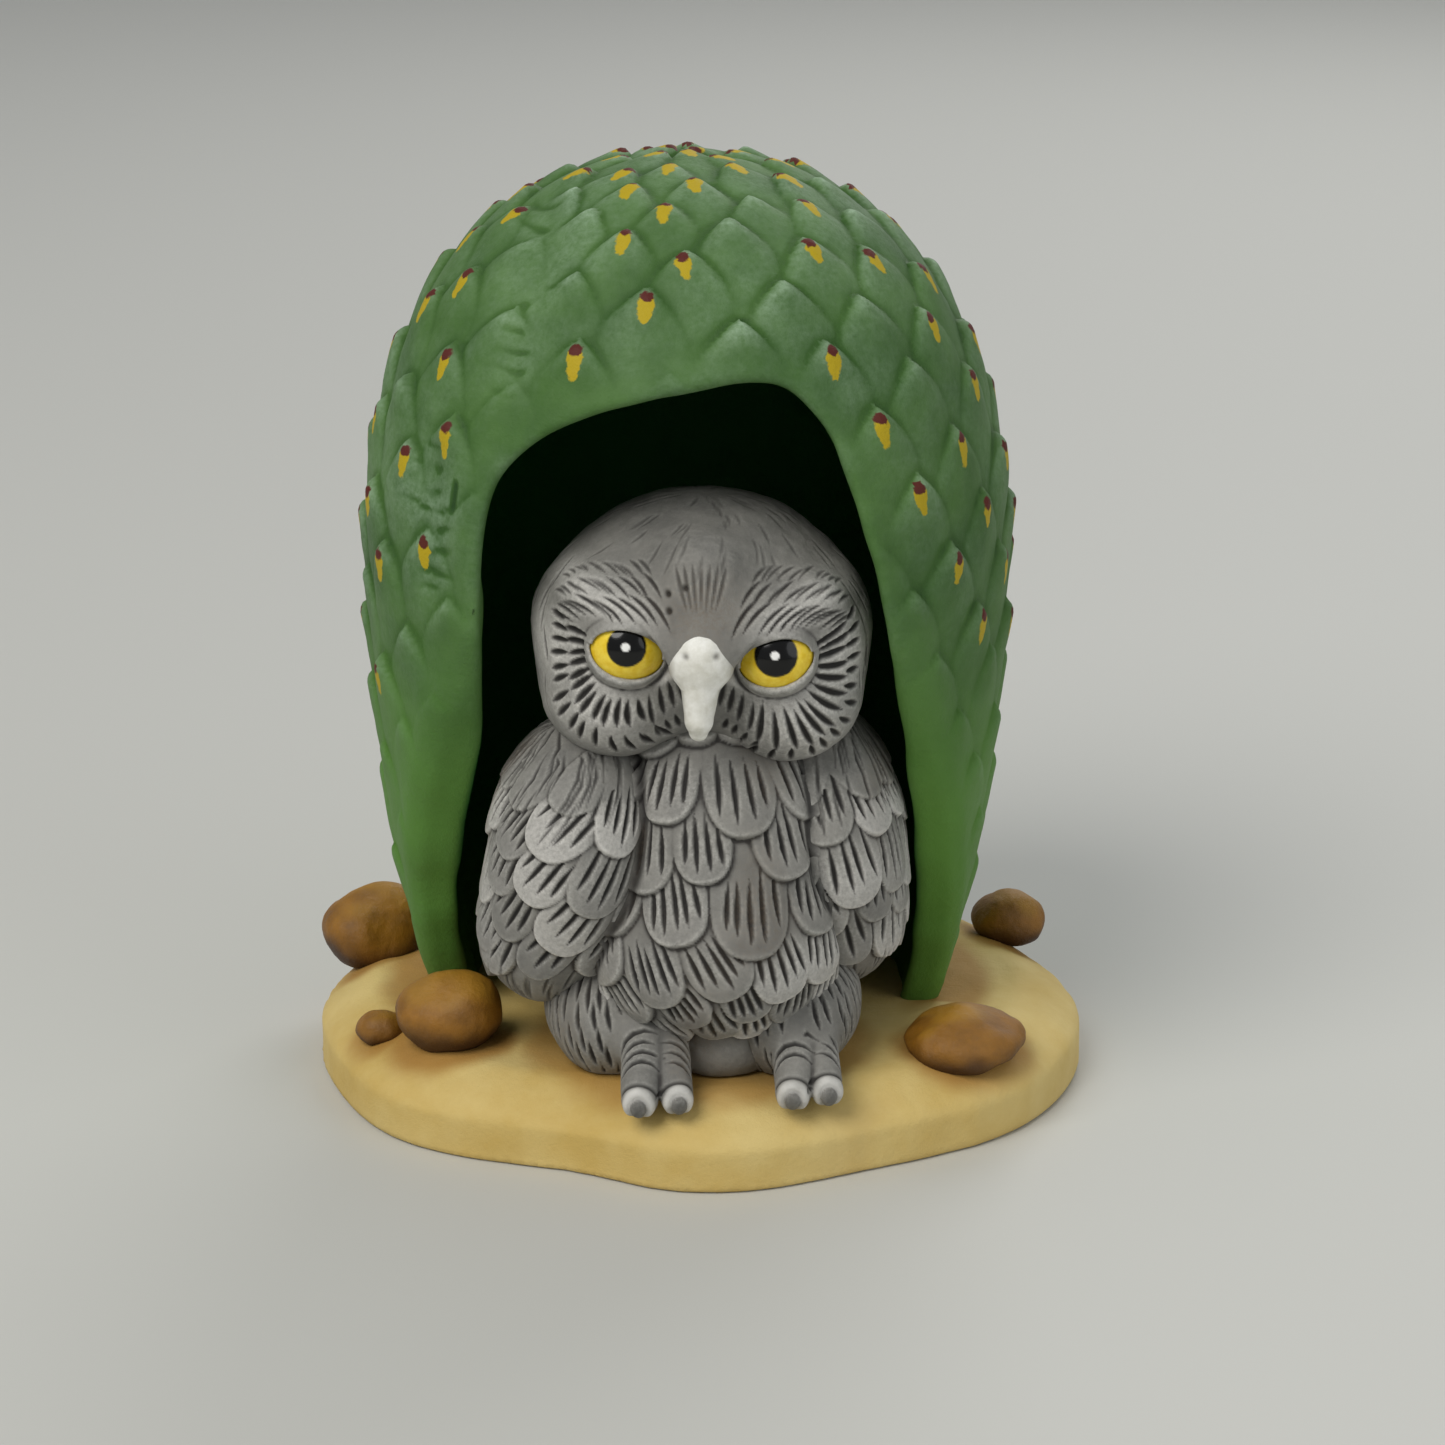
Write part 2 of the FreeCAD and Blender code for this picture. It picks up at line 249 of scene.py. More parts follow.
def sculpt(field, low, high, kind):
    """A closed mesh of the surface where the field is zero, in a box: its points, faces and normals."""
    quick_step, full_step = FINENESS[kind]
    step = full_step
    axes = [np.arange(low[k] - 1.5 * step, high[k] + 2.5 * step, step) for k in range(3)]
    values = field_values(field, axes)
    inside = values < 0
    corner_count = np.zeros(tuple(n - 1 for n in inside.shape), dtype=np.int8)
    for corner in np.ndindex(2, 2, 2):
        part = tuple(slice(c, c + n) for c, n in zip(corner, corner_count.shape))
        corner_count += inside[part]
    mixed = (corner_count > 0) & (corner_count < 8)
    cells, places = crossing_sums(values, mixed)
    number = np.full(mixed.shape, -1, dtype=np.int64)
    number[tuple(cells.T)] = np.arange(len(cells))
    faces = net_faces(inside, number)
    points = np.array([axis[0] for axis in axes]) + places * step
    for _ in range(2):
        slope = field_gradient(field, points)
        steep = np.maximum((slope**2).sum(1), 0.05)
        move = slope * (field(points) / steep)[:, None]
        length = np.linalg.norm(move, axis=1, keepdims=True)
        points = points - move * np.minimum(1.0, 0.6 * step / np.maximum(length, 1e-9))
    return points, faces, face_normals_to_points(points, faces)


def face_normals_to_points(points, faces):
    """Unit normals at the points of a quad mesh."""
    a, b, c, d = (points[faces[:, k]] for k in range(4))
    normal = np.cross(c - a, d - b)
    total = np.zeros_like(points)
    for k in range(4):
        for axis in range(3):
            total[:, axis] += np.bincount(faces[:, k], normal[:, axis], len(points))
    return unit(total)


def neighbour_mean(values, faces, rounds=1):
    """Each point's mean with its neighbours, repeated; values has one row or number per point."""
    flat = values.reshape(len(values), -1).astype(float)
    edges = np.concatenate([faces[:, [k, (k + 1) % 4]] for k in range(4)])
    count = np.bincount(edges[:, 0], minlength=len(flat)) + 1e-9
    for _ in range(rounds):
        total = np.empty_like(flat)
        for column in range(flat.shape[1]):
            total[:, column] = np.bincount(edges[:, 0], flat[edges[:, 1], column], len(flat))
        flat = 0.5 * flat + 0.5 * total / count[:, None]
    return flat.reshape(values.shape)


def relief(points, faces, rounds):
    """How far each point stands above its smoothed surroundings, in mm: ridges above 0, grooves below."""
    smooth = neighbour_mean(points, faces, rounds)
    normal = face_normals_to_points(points, faces)
    return ((points - smooth) * normal).sum(1)


def add_piece(name, node, material, points, faces, masks):
    """A visible piece in place of a CAD node: points in mm, and paint masks kept as point attributes."""
    mesh = bpy.data.meshes.new(name)
    mesh.vertices.add(len(points))
    mesh.vertices.foreach_set("co", (points * MM).astype(np.float32).ravel())
    sides = faces.shape[1]
    mesh.loops.add(faces.size)
    mesh.loops.foreach_set("vertex_index", faces.astype(np.int32).ravel())
    mesh.polygons.add(len(faces))
    mesh.polygons.foreach_set("loop_start", np.arange(0, faces.size, sides, dtype=np.int32))
    mesh.polygons.foreach_set("loop_total", np.full(len(faces), sides, dtype=np.int32))
    mesh.polygons.foreach_set("use_smooth", np.full(len(faces), True))
    mesh.update(calc_edges=True)
    for mask_name, values in masks.items():
        layer = mesh.attributes.new(mask_name, "FLOAT", "POINT")
        layer.data.foreach_set("value", np.asarray(values, dtype=np.float32))
    mesh.materials.append(material)
    piece = bpy.data.objects.new(name, mesh)
    bpy.context.scene.collection.objects.link(piece)
    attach(piece, "root")
    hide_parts(node)


# ---- materials


def srgb(red, green, blue):
    """A colour given as 0 to 255 display values, made linear."""
    return tuple(
        ((c / 255 + 0.055) / 1.055) ** 2.4 if c > 10 else c / 255 / 12.92 for c in (red, green, blue)
    )


class Paint:
    """A material that is built up from noise, the mesh's paint masks and layers of colour."""

    def __init__(self, name):
        self.material = bpy.data.materials.new(name)
        self.material.use_nodes = True
        self.tree = self.material.node_tree
        self.shader = self.tree.nodes["Principled BSDF"]
        self.colour = None

    def add(self, kind, **values):
        """A node with some of its properties or unlinked inputs set."""
        node = self.tree.nodes.new(kind)
        for key, value in values.items():
            if hasattr(node, key):
                setattr(node, key, value)
            else:
                node.inputs[key.replace("_", " ")].default_value = value
        return node

    def feed(self, value, socket):
        """Links an output to a socket, or sets the socket to a plain value."""
        if hasattr(value, "is_linked"):
            self.tree.links.new(value, socket)
        else:
            socket.default_value = value

    def mask(self, name):
        """The output of a paint mask, a point attribute of the mesh."""
        return self.add("ShaderNodeAttribute", attribute_name=name).outputs["Fac"]

    def noise(self, scale, detail=4.0, roughness=0.6):
        """Noise fixed to the object; scale is in features per metre."""
        place = self.add("ShaderNodeTexCoord").outputs["Object"]
        node = self.add("ShaderNodeTexNoise", Scale=scale, Detail=detail, Roughness=roughness)
        self.feed(place, node.inputs["Vector"])
        return node.outputs["Fac"]

    def remap(self, value, low, high, to_low=0.0, to_high=1.0):
        node = self.add("ShaderNodeMapRange", From_Min=low, From_Max=high, To_Min=to_low, To_Max=to_high)
        self.feed(value, node.inputs["Value"])
        return node.outputs["Result"]

    def combine(self, operation, a, b):
        node = self.add("ShaderNodeMath", operation=operation)
        self.feed(a, node.inputs[0])
        self.feed(b, node.inputs[1])
        return node.outputs[0]

    def times(self, *values):
        product = values[0]
        for value in values[1:]:
            product = self.combine("MULTIPLY", product, value)
        return product

    def plus(self, a, b):
        return self.combine("ADD", a, b)

    def layer(self, colour, amount):
        """Paints a colour over what is there, by an amount from 0 to 1."""
        node = self.add("ShaderNodeMix", data_type="RGBA", clamp_factor=True)
        amount_socket, under_socket, over_socket = node.inputs[0], node.inputs[6], node.inputs[7]
        self.feed(amount, amount_socket)
        self.feed(self.colour, under_socket)
        over_socket.default_value = (*colour, 1.0)
        self.colour = node.outputs[2]

    def mottle(self, dark, light, scale, detail=5.0, low=0.35, high=0.65):
        """The lowest coat: two close colours mixed by blotches of noise."""
        self.colour = (*dark, 1.0)
        self.layer(light, self.remap(self.noise(scale, detail), low, high))

    def finish(self, roughness, bumps, gloss=0.5):
        """Sets roughness and gloss, and adds bumps: pairs of a height output and a depth in mm."""
        self.feed(self.colour, self.shader.inputs["Base Color"])
        self.shader.inputs["Roughness"].default_value = roughness
        self.shader.inputs["Specular IOR Level"].default_value = gloss
        normal = None
        for height, depth in bumps:
            bump = self.add("ShaderNodeBump", Strength=1.0, Distance=depth * MM)
            self.feed(height, bump.inputs["Height"])
            if normal is not None:
                self.feed(normal, bump.inputs["Normal"])
            normal = bump.outputs["Normal"]
        self.feed(normal, self.shader.inputs["Normal"])
        return self.material


def cactus_paint():
    """Green bisque: dark valleys, a pale dry brush on the ridges, and yellow marks with red-brown tips."""
    paint = Paint("cactus_paint")
    fine = paint.noise(1400.0, 6.0, 0.7)
    height = paint.mask("relief")
    paint.mottle(srgb(52, 90, 30), srgb(74, 112, 48), 90.0)
    paint.layer(srgb(30, 66, 18), paint.remap(height, 0.0, -0.45, 0.0, 0.9))
    paint.layer(srgb(88, 136, 48), paint.times(paint.mask("lower"), 0.7))
    brush = paint.times(
        paint.remap(height, -0.10, 0.35),
        paint.remap(fine, 0.25, 0.70, 0.15, 0.8),
        paint.remap(paint.noise(55.0, 6.0), 0.36, 0.60, 0.15, 1.45),
        paint.mask("haze"),
    )
    paint.layer(srgb(150, 176, 146), brush)
    paint.layer(srgb(20, 92, 28), paint.mask("inside"))
    ragged = paint.remap(paint.noise(1100.0), 0.3, 0.7, -0.22, 0.22)
    for name, colour in (("yellow", srgb(178, 154, 6)), ("red", srgb(84, 24, 12))):
        edge = paint.plus(paint.mask(name), ragged)
        paint.layer(colour, paint.remap(edge, 0.08, -0.08))
    return paint.finish(0.62, [(fine, 0.12), (paint.noise(5200.0, 3.0), 0.03)], 0.35)


def sand_paint():
    """Cream-yellow bisque, brown round everything that stands on it, which is both airbrush and painted
    shade, bare underneath.
    """
    paint = Paint("sand_paint")
    fine = paint.noise(1600.0, 5.0, 0.7)
    paint.mottle(srgb(200, 170, 96), srgb(214, 190, 124), 70.0)
    # brown where things stand on the sand: both airbrushed brown and painted shade
    paint.layer(srgb(160, 112, 44), paint.mask("shade"))
    paint.layer(srgb(140, 100, 48), paint.remap(fine, 0.70, 0.80, 0.0, 0.35))
    paint.layer(srgb(214, 208, 196), paint.mask("bare"))
    return paint.finish(0.68, [(fine, 0.10), (paint.noise(6000.0, 3.0), 0.03)], 0.3)


def stone_paint():
    """Ochre bisque, dark at the foot of each stone, which is both airbrush and painted shade, and a painted
    highlight on its crown.
    """
    paint = Paint("stone_paint")
    fine = paint.noise(1800.0, 5.0, 0.7)
    paint.mottle(srgb(118, 78, 10), srgb(148, 100, 18), 260.0)
    # darker towards the foot: both airbrushed brown and painted shade
    paint.layer(srgb(64, 36, 6), paint.mask("shade"))
    # painted highlight on the stone's top
    paint.layer(srgb(176, 132, 40), paint.mask("crown"))
    return paint.finish(0.55, [(fine, 0.12), (paint.noise(6000.0, 3.0), 0.03)])


def owl_paint():
    """Grey bisque: dark wash left in the cuts, painted shade in the grooves beside the wings, pale dry
    brush on the ridges, and warm patches.
    """
    paint = Paint("owl_paint")
    fine = paint.noise(2200.0, 6.0, 0.75)
    height = paint.mask("relief")
    pale = paint.mask("pale")
    paint.mottle(srgb(99, 98, 94), srgb(129, 127, 121), 150.0, 5.0, 0.3, 0.7)
    brush = paint.times(
        paint.remap(height, -0.02, 0.12),
        paint.remap(fine, 0.30, 0.62, 0.1, 1.0),
        paint.plus(0.45, paint.times(pale, 0.55)),
    )
    paint.layer(srgb(212, 210, 202), brush)
    paint.layer(srgb(212, 209, 203), paint.times(pale, paint.remap(fine, 0.30, 0.62, 0.28, 0.62)))
    paint.layer(srgb(52, 49, 47), paint.remap(height, -0.01, -0.10, 0.0, 0.9))
    # dark wash in the cuts, and painted shade in the torso's grooves beside the wings
    paint.layer(srgb(32, 30, 28), paint.mask("cut"))
    paint.layer(srgb(214, 212, 206), paint.mask("white"))
    paint.layer(srgb(100, 84, 64), paint.times(paint.mask("warm"), paint.remap(fine, 0.35, 0.65)))
    return paint.finish(0.66, [(fine, 0.09), (paint.noise(7000.0, 3.0), 0.025)], 0.3)


def beak_paint():
    """Off-white bisque with a grey shadow round the cere and along the sides."""
    paint = Paint("beak_paint")
    fine = paint.noise(2400.0, 5.0, 0.7)
    paint.mottle(srgb(210, 208, 196), srgb(238, 237, 230), 500.0)
    paint.layer(srgb(92, 88, 82), paint.mask("shade"))
    return paint.finish(0.5, [(fine, 0.06), (paint.noise(7000.0, 3.0), 0.02)])


def eye_paint():
    """Gloss yellow iris, darker towards its rim, with a black pupil and a small white dot."""
    paint = Paint("eye_paint")
    paint.mottle(srgb(228, 190, 34), srgb(242, 214, 72), 900.0, 4.0)
    paint.layer(srgb(70, 54, 20), paint.mask("rim"))
    paint.layer(srgb(4, 4, 4), paint.mask("pupil"))
    paint.layer(srgb(240, 240, 236), paint.mask("dot"))
    paint.shader.inputs["Coat Weight"].default_value = 0.25
    paint.shader.inputs["Coat Roughness"].default_value = 0.05
    return paint.finish(0.16, [(paint.noise(900.0, 4.0), 0.01)], 0.25)


# ---- cactus shell

shell_low, shell_high = box_mm("cactus_shell")
SHELL_RADIUS = (shell_high[0] - shell_low[0]) / 2
SHELL_X = (shell_high[0] + shell_low[0]) / 2
SHELL_Y = shell_high[1] - SHELL_RADIUS
SHELL_TOP = shell_high[2] + 0.15
SHELL_FOOT = shell_low[2]
SHELL_WIDEST = 58.0
SHELL_LOWER_REACH = 75.0
SHELL_WALL = 5.5
SHELL_ROUNDNESS = 2.3
ARCH_WIDTH = 46.0
ARCH_TOP = 84.3


def dome_field(points, radius, upper_reach):
    """About the distance to a dome whose profile is a superellipse, squarer than an ellipse."""
    n = SHELL_ROUNDNESS
    rho = np.hypot(points[:, 0] - SHELL_X, points[:, 1] - SHELL_Y)
    rise = points[:, 2] - SHELL_WIDEST
    reach = np.where(rise > 0, upper_reach, SHELL_LOWER_REACH)
    rise = np.abs(rise)
    total = np.maximum((rho / radius) ** n + (rise / reach) ** n, 1e-6)
    size = total ** (1 / n)
    across = rho ** (n - 1) / radius**n
    up = rise ** (n - 1) / reach**n
    steep = total ** (1 / n - 1) * np.hypot(across, up)
    return (size - 1) / np.maximum(steep, 1e-4)


def smooth_outline(corners, divisions=10):
    """Points along a closed curve that is drawn smoothly through the middles of its corners' sides."""
    corners = np.asarray(corners, float)
    rows = []
    for k in range(len(corners)):
        a, b, c, d = (corners[(k + j) % len(corners)] for j in (-1, 0, 1, 2))
        for t in np.linspace(0, 1, divisions, endpoint=False):
            weights = ((1 - t) ** 3, 3 * t**3 - 6 * t**2 + 4, -3 * t**3 + 3 * t**2 + 3 * t + 1, t**3)
            rows.append(sum(w * p for w, p in zip(weights, (a, b, c, d))) / 6)
    return np.array(rows)


def outline_distance(points, outline):
    """The distance of 2-D points to a closed outline, negative inside."""
    nearest = np.full(len(points), np.inf)
    crossings = np.zeros(len(points), dtype=int)
    for start, end in zip(outline, np.roll(outline, -1, axis=0)):
        along = end - start
        offset = points - start
        share = np.clip(offset @ along / max(along @ along, 1e-12), 0, 1)
        nearest = np.minimum(nearest, np.linalg.norm(offset - share[:, None] * along, axis=1))
        spans = (start[1] > points[:, 1]) != (end[1] > points[:, 1])
        rise = end[1] - start[1] if end[1] != start[1] else 1e-12
        cross_at = start[0] + (points[:, 1] - start[1]) / rise * along[0]
        crossings += spans & (points[:, 0] < cross_at)
    return np.where(crossings % 2 == 1, -nearest, nearest)


class Template:
    """The signed distance to an outline in the XZ plane, kept on a grid so that it is quick to read."""

    def __init__(self, outline, low, high, step=0.3):
        self.low, self.step = np.asarray(low, float), step
        xs = np.arange(low[0], high[0], step)
        zs = np.arange(low[1], high[1], step)
        x, z = np.meshgrid(xs, zs, indexing="ij")
        values = outline_distance(np.stack([x.ravel(), z.ravel()], axis=1), outline)
        self.values = values.reshape(x.shape)

    def __call__(self, x, z):
        i = np.clip((x - self.low[0]) / self.step, 0, self.values.shape[0] - 1.001)
        j = np.clip((z - self.low[1]) / self.step, 0, self.values.shape[1] - 1.001)
        i0, j0 = i.astype(int), j.astype(int)
        a, b = i - i0, j - j0
        v = self.values
        near = v[i0, j0] * (1 - b) + v[i0, j0 + 1] * b
        far = v[i0 + 1, j0] * (1 - b) + v[i0 + 1, j0 + 1] * b
        return near * (1 - a) + far * a


ARCH_CORNERS = (
    (-0.485, -0.10), (-0.485, 0.25), (-0.485, 0.60), (-0.485, 0.83), (-0.42, 0.905), (-0.27, 0.96),
    (-0.08, 0.99), (0.10, 1.01), (0.21, 1.0), (0.30, 0.94), (0.36, 0.85), (0.42, 0.72),
    (0.47, 0.57), (0.50, 0.40), (0.495, 0.24), (0.435, 0.11), (0.405, -0.10),
)
arch = Template(
    smooth_outline([(x * ARCH_WIDTH, z * ARCH_TOP) for x, z in ARCH_CORNERS]), (-45, 0), (45, 112)
)


def opening_field(points):
    """The room cut out for the opening: the distances to the arch and to the slant of the front edges."""
    archway = np.maximum(arch(points[:, 0], points[:, 2]), points[:, 1] + 2.0)
    lean = (points[:, 1] + 8.0) * 0.912 + (points[:, 2] - 9.0) * 0.411
    return archway, -lean


def shell_field(points):
    """The hollow dome with its archway and slanting legs, cut level at its foot."""
    outer = dome_field(points, SHELL_RADIUS, SHELL_TOP - SHELL_WIDEST)
    inner = dome_field(points, SHELL_RADIUS - SHELL_WALL, SHELL_TOP - SHELL_WALL - SHELL_WIDEST)
    wall = smooth_max(outer, -inner, 0.8)
    archway, lean = opening_field(points)
    wall = smooth_max(wall, -archway, 1.8)
    wall = smooth_max(wall, lean, 1.8)
    return smooth_max(wall, SHELL_FOOT - points[:, 2], 0.3)


def dome_radius(z):
    """The dome's radius at a height."""
    reach = np.where(z > SHELL_WIDEST, SHELL_TOP - SHELL_WIDEST, SHELL_LOWER_REACH)
    share = np.clip(np.abs(z - SHELL_WIDEST) / reach, 0, 1)
    return SHELL_RADIUS * (1 - share**SHELL_ROUNDNESS) ** (1 / SHELL_ROUNDNESS)


def dome_meridian():
    """Heights down the dome's profile from its top, with the distance along the profile to each."""
    turn = np.linspace(0, math.pi, 2000)
    bend = np.abs(np.cos(turn)) ** (2 / SHELL_ROUNDNESS)
    z = SHELL_WIDEST + np.where(turn < math.pi / 2, SHELL_TOP - SHELL_WIDEST, -SHELL_LOWER_REACH) * bend
    rho = dome_radius(z)
    length = np.concatenate([[0], np.cumsum(np.hypot(np.diff(z), np.diff(rho)))])
    return z, rho, length


SCALE_HEIGHT = 1.6
GOLDEN_TURN = math.pi * (3 - math.sqrt(5))
MARKS_FROM = 46.0  # the lowest height of a painted scale
MARK_TO_RIM = 2.6  # the least distance of a painted scale from the opening's rim
MARKED_UP_TO = 0.75  # a scale is painted when its random value, from -1 to 1, is below this
SPINE_HALF_WIDTH = 0.70
SPINE_TIP_RADIUS = 0.72
FAR = 9.0  # a distance that means no paint
TICK_SPACING = 2.1  # between the short marks across the seam band


def hashed(number, seed):
    """A repeatable random value from -1 to 1 for a whole number."""
    return float(lattice_values(np.array([[number, seed, 7]]), 13)[0])


def scale_places():
    """The centre, normal, up and size of each scale, spaced like the florets of a real cactus."""
    z, rho, length = dome_meridian()
    area = 40 + 36 * smoothstep(102, 88, z)
    count = np.concatenate([[0], np.cumsum(np.diff(length) * 2 * math.pi * rho[1:] / area[1:])])
    places = []
    for number in range(int(count[-1])):
        row = min(int(np.searchsorted(count, number + 0.6)), len(z) - 2)
        azimuth = number * GOLDEN_TURN + 0.35
        outward = np.array([math.sin(azimuth), -math.cos(azimuth), 0.0])
        centre = np.array([SHELL_X, SHELL_Y, 0.0]) + outward * rho[row] + np.array([0, 0, z[row]])
        up = unit(outward * (rho[row - 1] - rho[row + 1]) + np.array([0, 0, z[row - 1] - z[row + 1]]))
        normal = unit(np.cross(np.cross(up, outward), up))
        normal = normal * np.sign(normal @ outward + 0.2 * normal[2])
        places.append((centre, normal, up, math.sqrt(area[row])))
    return places


def scale_rise(number, u, v):
    """A scale's height from 0 to 1, by place across it and along it: it rises to a blunt tip."""
    along = np.clip((v + 0.95) / 1.5, 0, 1)
    above, below = 1 - np.clip((v + 0.15) / 0.78, 0, 1) ** 1.8, 1 - 0.35 * (v + 0.15) ** 2
    width = 1.05 * np.where(v > -0.15, above, below)
    across = np.clip(1 - (u / np.maximum(width, 1e-3)) ** 2, 0, 1) ** 0.75
    rise = (0.15 + 0.85 * along**1.4) * across * (1 + 0.15 * hashed(number, 6))
    return rise * smoothstep(0.82, 0.42, v)


def is_marked(number, centre):
    """Whether a scale is painted: most are, but none by the foot, the opening's rim or the seam band."""
    archway, leaning = opening_field(centre[None])
    near_rim = archway[0] < MARK_TO_RIM or leaning[0] > -MARK_TO_RIM
    seam_x = 0.10 * (centre[2] - 85) - 17.0
    on_seam = abs(centre[0] - seam_x) < 3.8 and centre[2] > 68 and centre[1] < -8
    return hashed(number, 11) <= MARKED_UP_TO and centre[2] >= MARKS_FROM and not near_rim and not on_seam


def cactus_scales(points):
    """The scales' relief from 0 to 1, and the distance in mm to each scale's painted spine and its tip."""
    best = np.zeros(len(points))
    stroke = np.full(len(points), FAR)
    tip = np.full(len(points), FAR)
    for number, (centre, normal, up, size) in enumerate(scale_places()):
        side = np.cross(up, normal)
        centre = centre + up * 0.12 * size * hashed(number, 1) + side * 0.1 * size * hashed(number, 2)
        offset = points - centre
        near = np.flatnonzero((offset**2).sum(1) < (1.15 * size) ** 2)
        if len(near) == 0:
            continue
        offset = offset[near]
        sideways = offset @ side
        upward = offset @ up
        rise = scale_rise(number, sideways / (0.64 * size), upward / size)
        owner = rise > best[near]
        mine = near[owner]
        best[mine] = rise[owner]
        lean = 0.12 * hashed(number, 7)
        reach = 0.80 + 0.2 * hashed(number, 8)
        sideways, upward = (sideways - lean * upward)[owner], (upward - 0.26 * size)[owner]
        if not is_marked(number, centre):
            stroke[mine] = tip[mine] = FAR
            continue
        narrowing = 0.20 * np.clip(upward / reach, -1, 1)
        from_line = np.hypot(sideways, upward - np.clip(upward, -reach, reach))
        stroke[mine] = from_line - SPINE_HALF_WIDTH - narrowing
        tip[mine] = np.hypot(sideways, (upward - reach - 0.80) * 1.05) - SPINE_TIP_RADIUS
    return best, stroke, tip


def seam_band(x, z, front):
    """A plain strip on the left of the front, and a shorter one beside it, where the scales fade."""
    band = bell(x + 17.6 - 0.10 * (z - 85), 2.7) * smoothstep(68, 76, z) * front
    return np.maximum(band, bell(x + 27.6, 2.3) * smoothstep(58, 64, z) * smoothstep(80, 74, z) * front)


def make_shell():
    """The cactus: scales, a plain seam band with ticks, a scratch, and a smooth inside."""
    points, faces, normal = sculpt(shell_field, shell_low - 1, shell_high + 1, "shell")
    depth = -dome_field(points, SHELL_RADIUS, SHELL_TOP - SHELL_WIDEST)
    archway, lean = opening_field(points)
    rim = smoothstep(0.6, 5.0, archway) * smoothstep(0.6, 5.0, -lean)
    outer = smoothstep(1.2, 0.3, depth) * (0.25 + 0.75 * rim)
    scales, stroke, tip = cactus_scales(points)
    z = points[:, 2]
    strength = 0.55 + 0.45 * smoothstep(30, 62, z)
    front = smoothstep(-4.0, -9.0, points[:, 1])
    x = points[:, 0]
    band = seam_band(x, z, front)
    level = (z + 0.8 * noise(points, 4.0, 32)) % TICK_SPACING - TICK_SPACING / 2
    ticks = bell(level, 0.32) * smoothstep(-0.1, 0.3, noise(points, 3.2, 31))
    lift = outer * (SCALE_HEIGHT * scales * strength * (1 - 0.8 * band) - 0.26 * band * ticks)
    past_end = np.clip(np.abs(z - 72) - 1.3, 0, None)
    scratch = bell(np.hypot(x + 25.0 - 0.2 * (z - 72), past_end), 0.28) * front
    lift = lift - 0.3 * scratch * outer
    lift = lift - 0.55 * outer * SCALE_HEIGHT
    lift = lift + 0.16 * rough_noise(points, 7.0, 21) * outer
    inward = smoothstep(4.0, 5.2, depth)
    lift = lift + 0.25 * noise(points, 5.0, 23) * (1 - outer)
    points = points + normal * lift[:, None]
    above = outer > 0.35
    material = cactus_paint()
    masks = {
        "relief": relief(points, faces, 14) - 0.5 * scratch - 0.05 * band * ticks,
        "inside": inward,
        "lower": smoothstep(62, 30, z),
        "haze": (0.25 + 0.75 * smoothstep(40, 72, z)) * (0.25 + 0.75 * rim) + 0.4 * band,
        "yellow": np.where(above, stroke, 9.0),
        "red": np.where(above, tip, 9.0),
    }
    add_piece("cactus_shell_sculpted", "cactus_shell", material, points, faces, masks)


# ---- base and stones

base_low, base_high = box_mm("base_slab")
STONES = (
    "stone_front_left",
    "stone_front_left_small",
    "stone_front_right",
    "stone_back_left",
    "stone_back_right",
)


def base_reach(azimuth):
    """The base's widest radius at an azimuth, read from the CAD node."""
    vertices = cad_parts["base_slab"].data.vertices
    places = np.array([v.co for v in vertices]) / MM
    places = places[places[:, 2] > 0.05]
    angle = np.arctan2(places[:, 1], places[:, 0])
    radius = np.hypot(places[:, 0], places[:, 1])
    sectors = 72
    bins = np.floor((angle + math.pi) / (2 * math.pi) * sectors).astype(int) % sectors
    widest = np.array([radius[bins == k].max() if (bins == k).any() else 40.0 for k in range(sectors)])
    centres = (np.arange(-1, sectors + 1) + 0.5) / sectors * 2 * math.pi - math.pi
    return np.interp(azimuth, centres, np.concatenate([widest[-1:], widest, widest[:1]]))


def base_shade(x, y, z, points, from_edge):
    """The brown on the sand, both airbrush and painted shade where things stand on it: at the shell's foot,
    round the stones and owl, and in blotches on the rim.
    """
    # both airbrush and painted shade in a band at the shell's foot
    near_shell = np.abs(np.hypot(x - SHELL_X, y - SHELL_Y) - 29.5) - 2.5
    near_shell = np.where(y < -8, np.hypot(near_shell, (y + 8)), near_shell)
    shade = 0.75 * smoothstep(3.6, 0.2, near_shell + 0.8 * noise(points, 4.0, 45))
    # both airbrush and painted shade round each stone
    for name in STONES:
        centre, size = middle(name), half_size(name)
        away = (np.hypot((x - centre[0]) / size[0], (y - centre[1]) / size[1]) - 1) * size[:2].mean()
        shade = np.maximum(shade, 0.8 * smoothstep(3.0, 0.0, away + 0.7 * noise(points, 3.0, 47)))
    shade = shade * smoothstep(4.5, 7.5, z)
    # painted shadow under the owl, with airbrushed brown
    owl_y = middle("owl_torso")[1]
    away = np.hypot(x / 17.0, (y - owl_y) / 15.0) - 1
    shade = np.maximum(shade, 0.6 * smoothstep(0.22, 0.0, away + 0.05 * noise(points, 3.0, 49)))
    # darker brown in blotches near the rim
    rim_blotches = smoothstep(0.1, 0.6, noise(points, 14.0, 51))
    return np.maximum(shade, 0.25 * smoothstep(4.0, 0.0, from_edge) * rim_blotches)


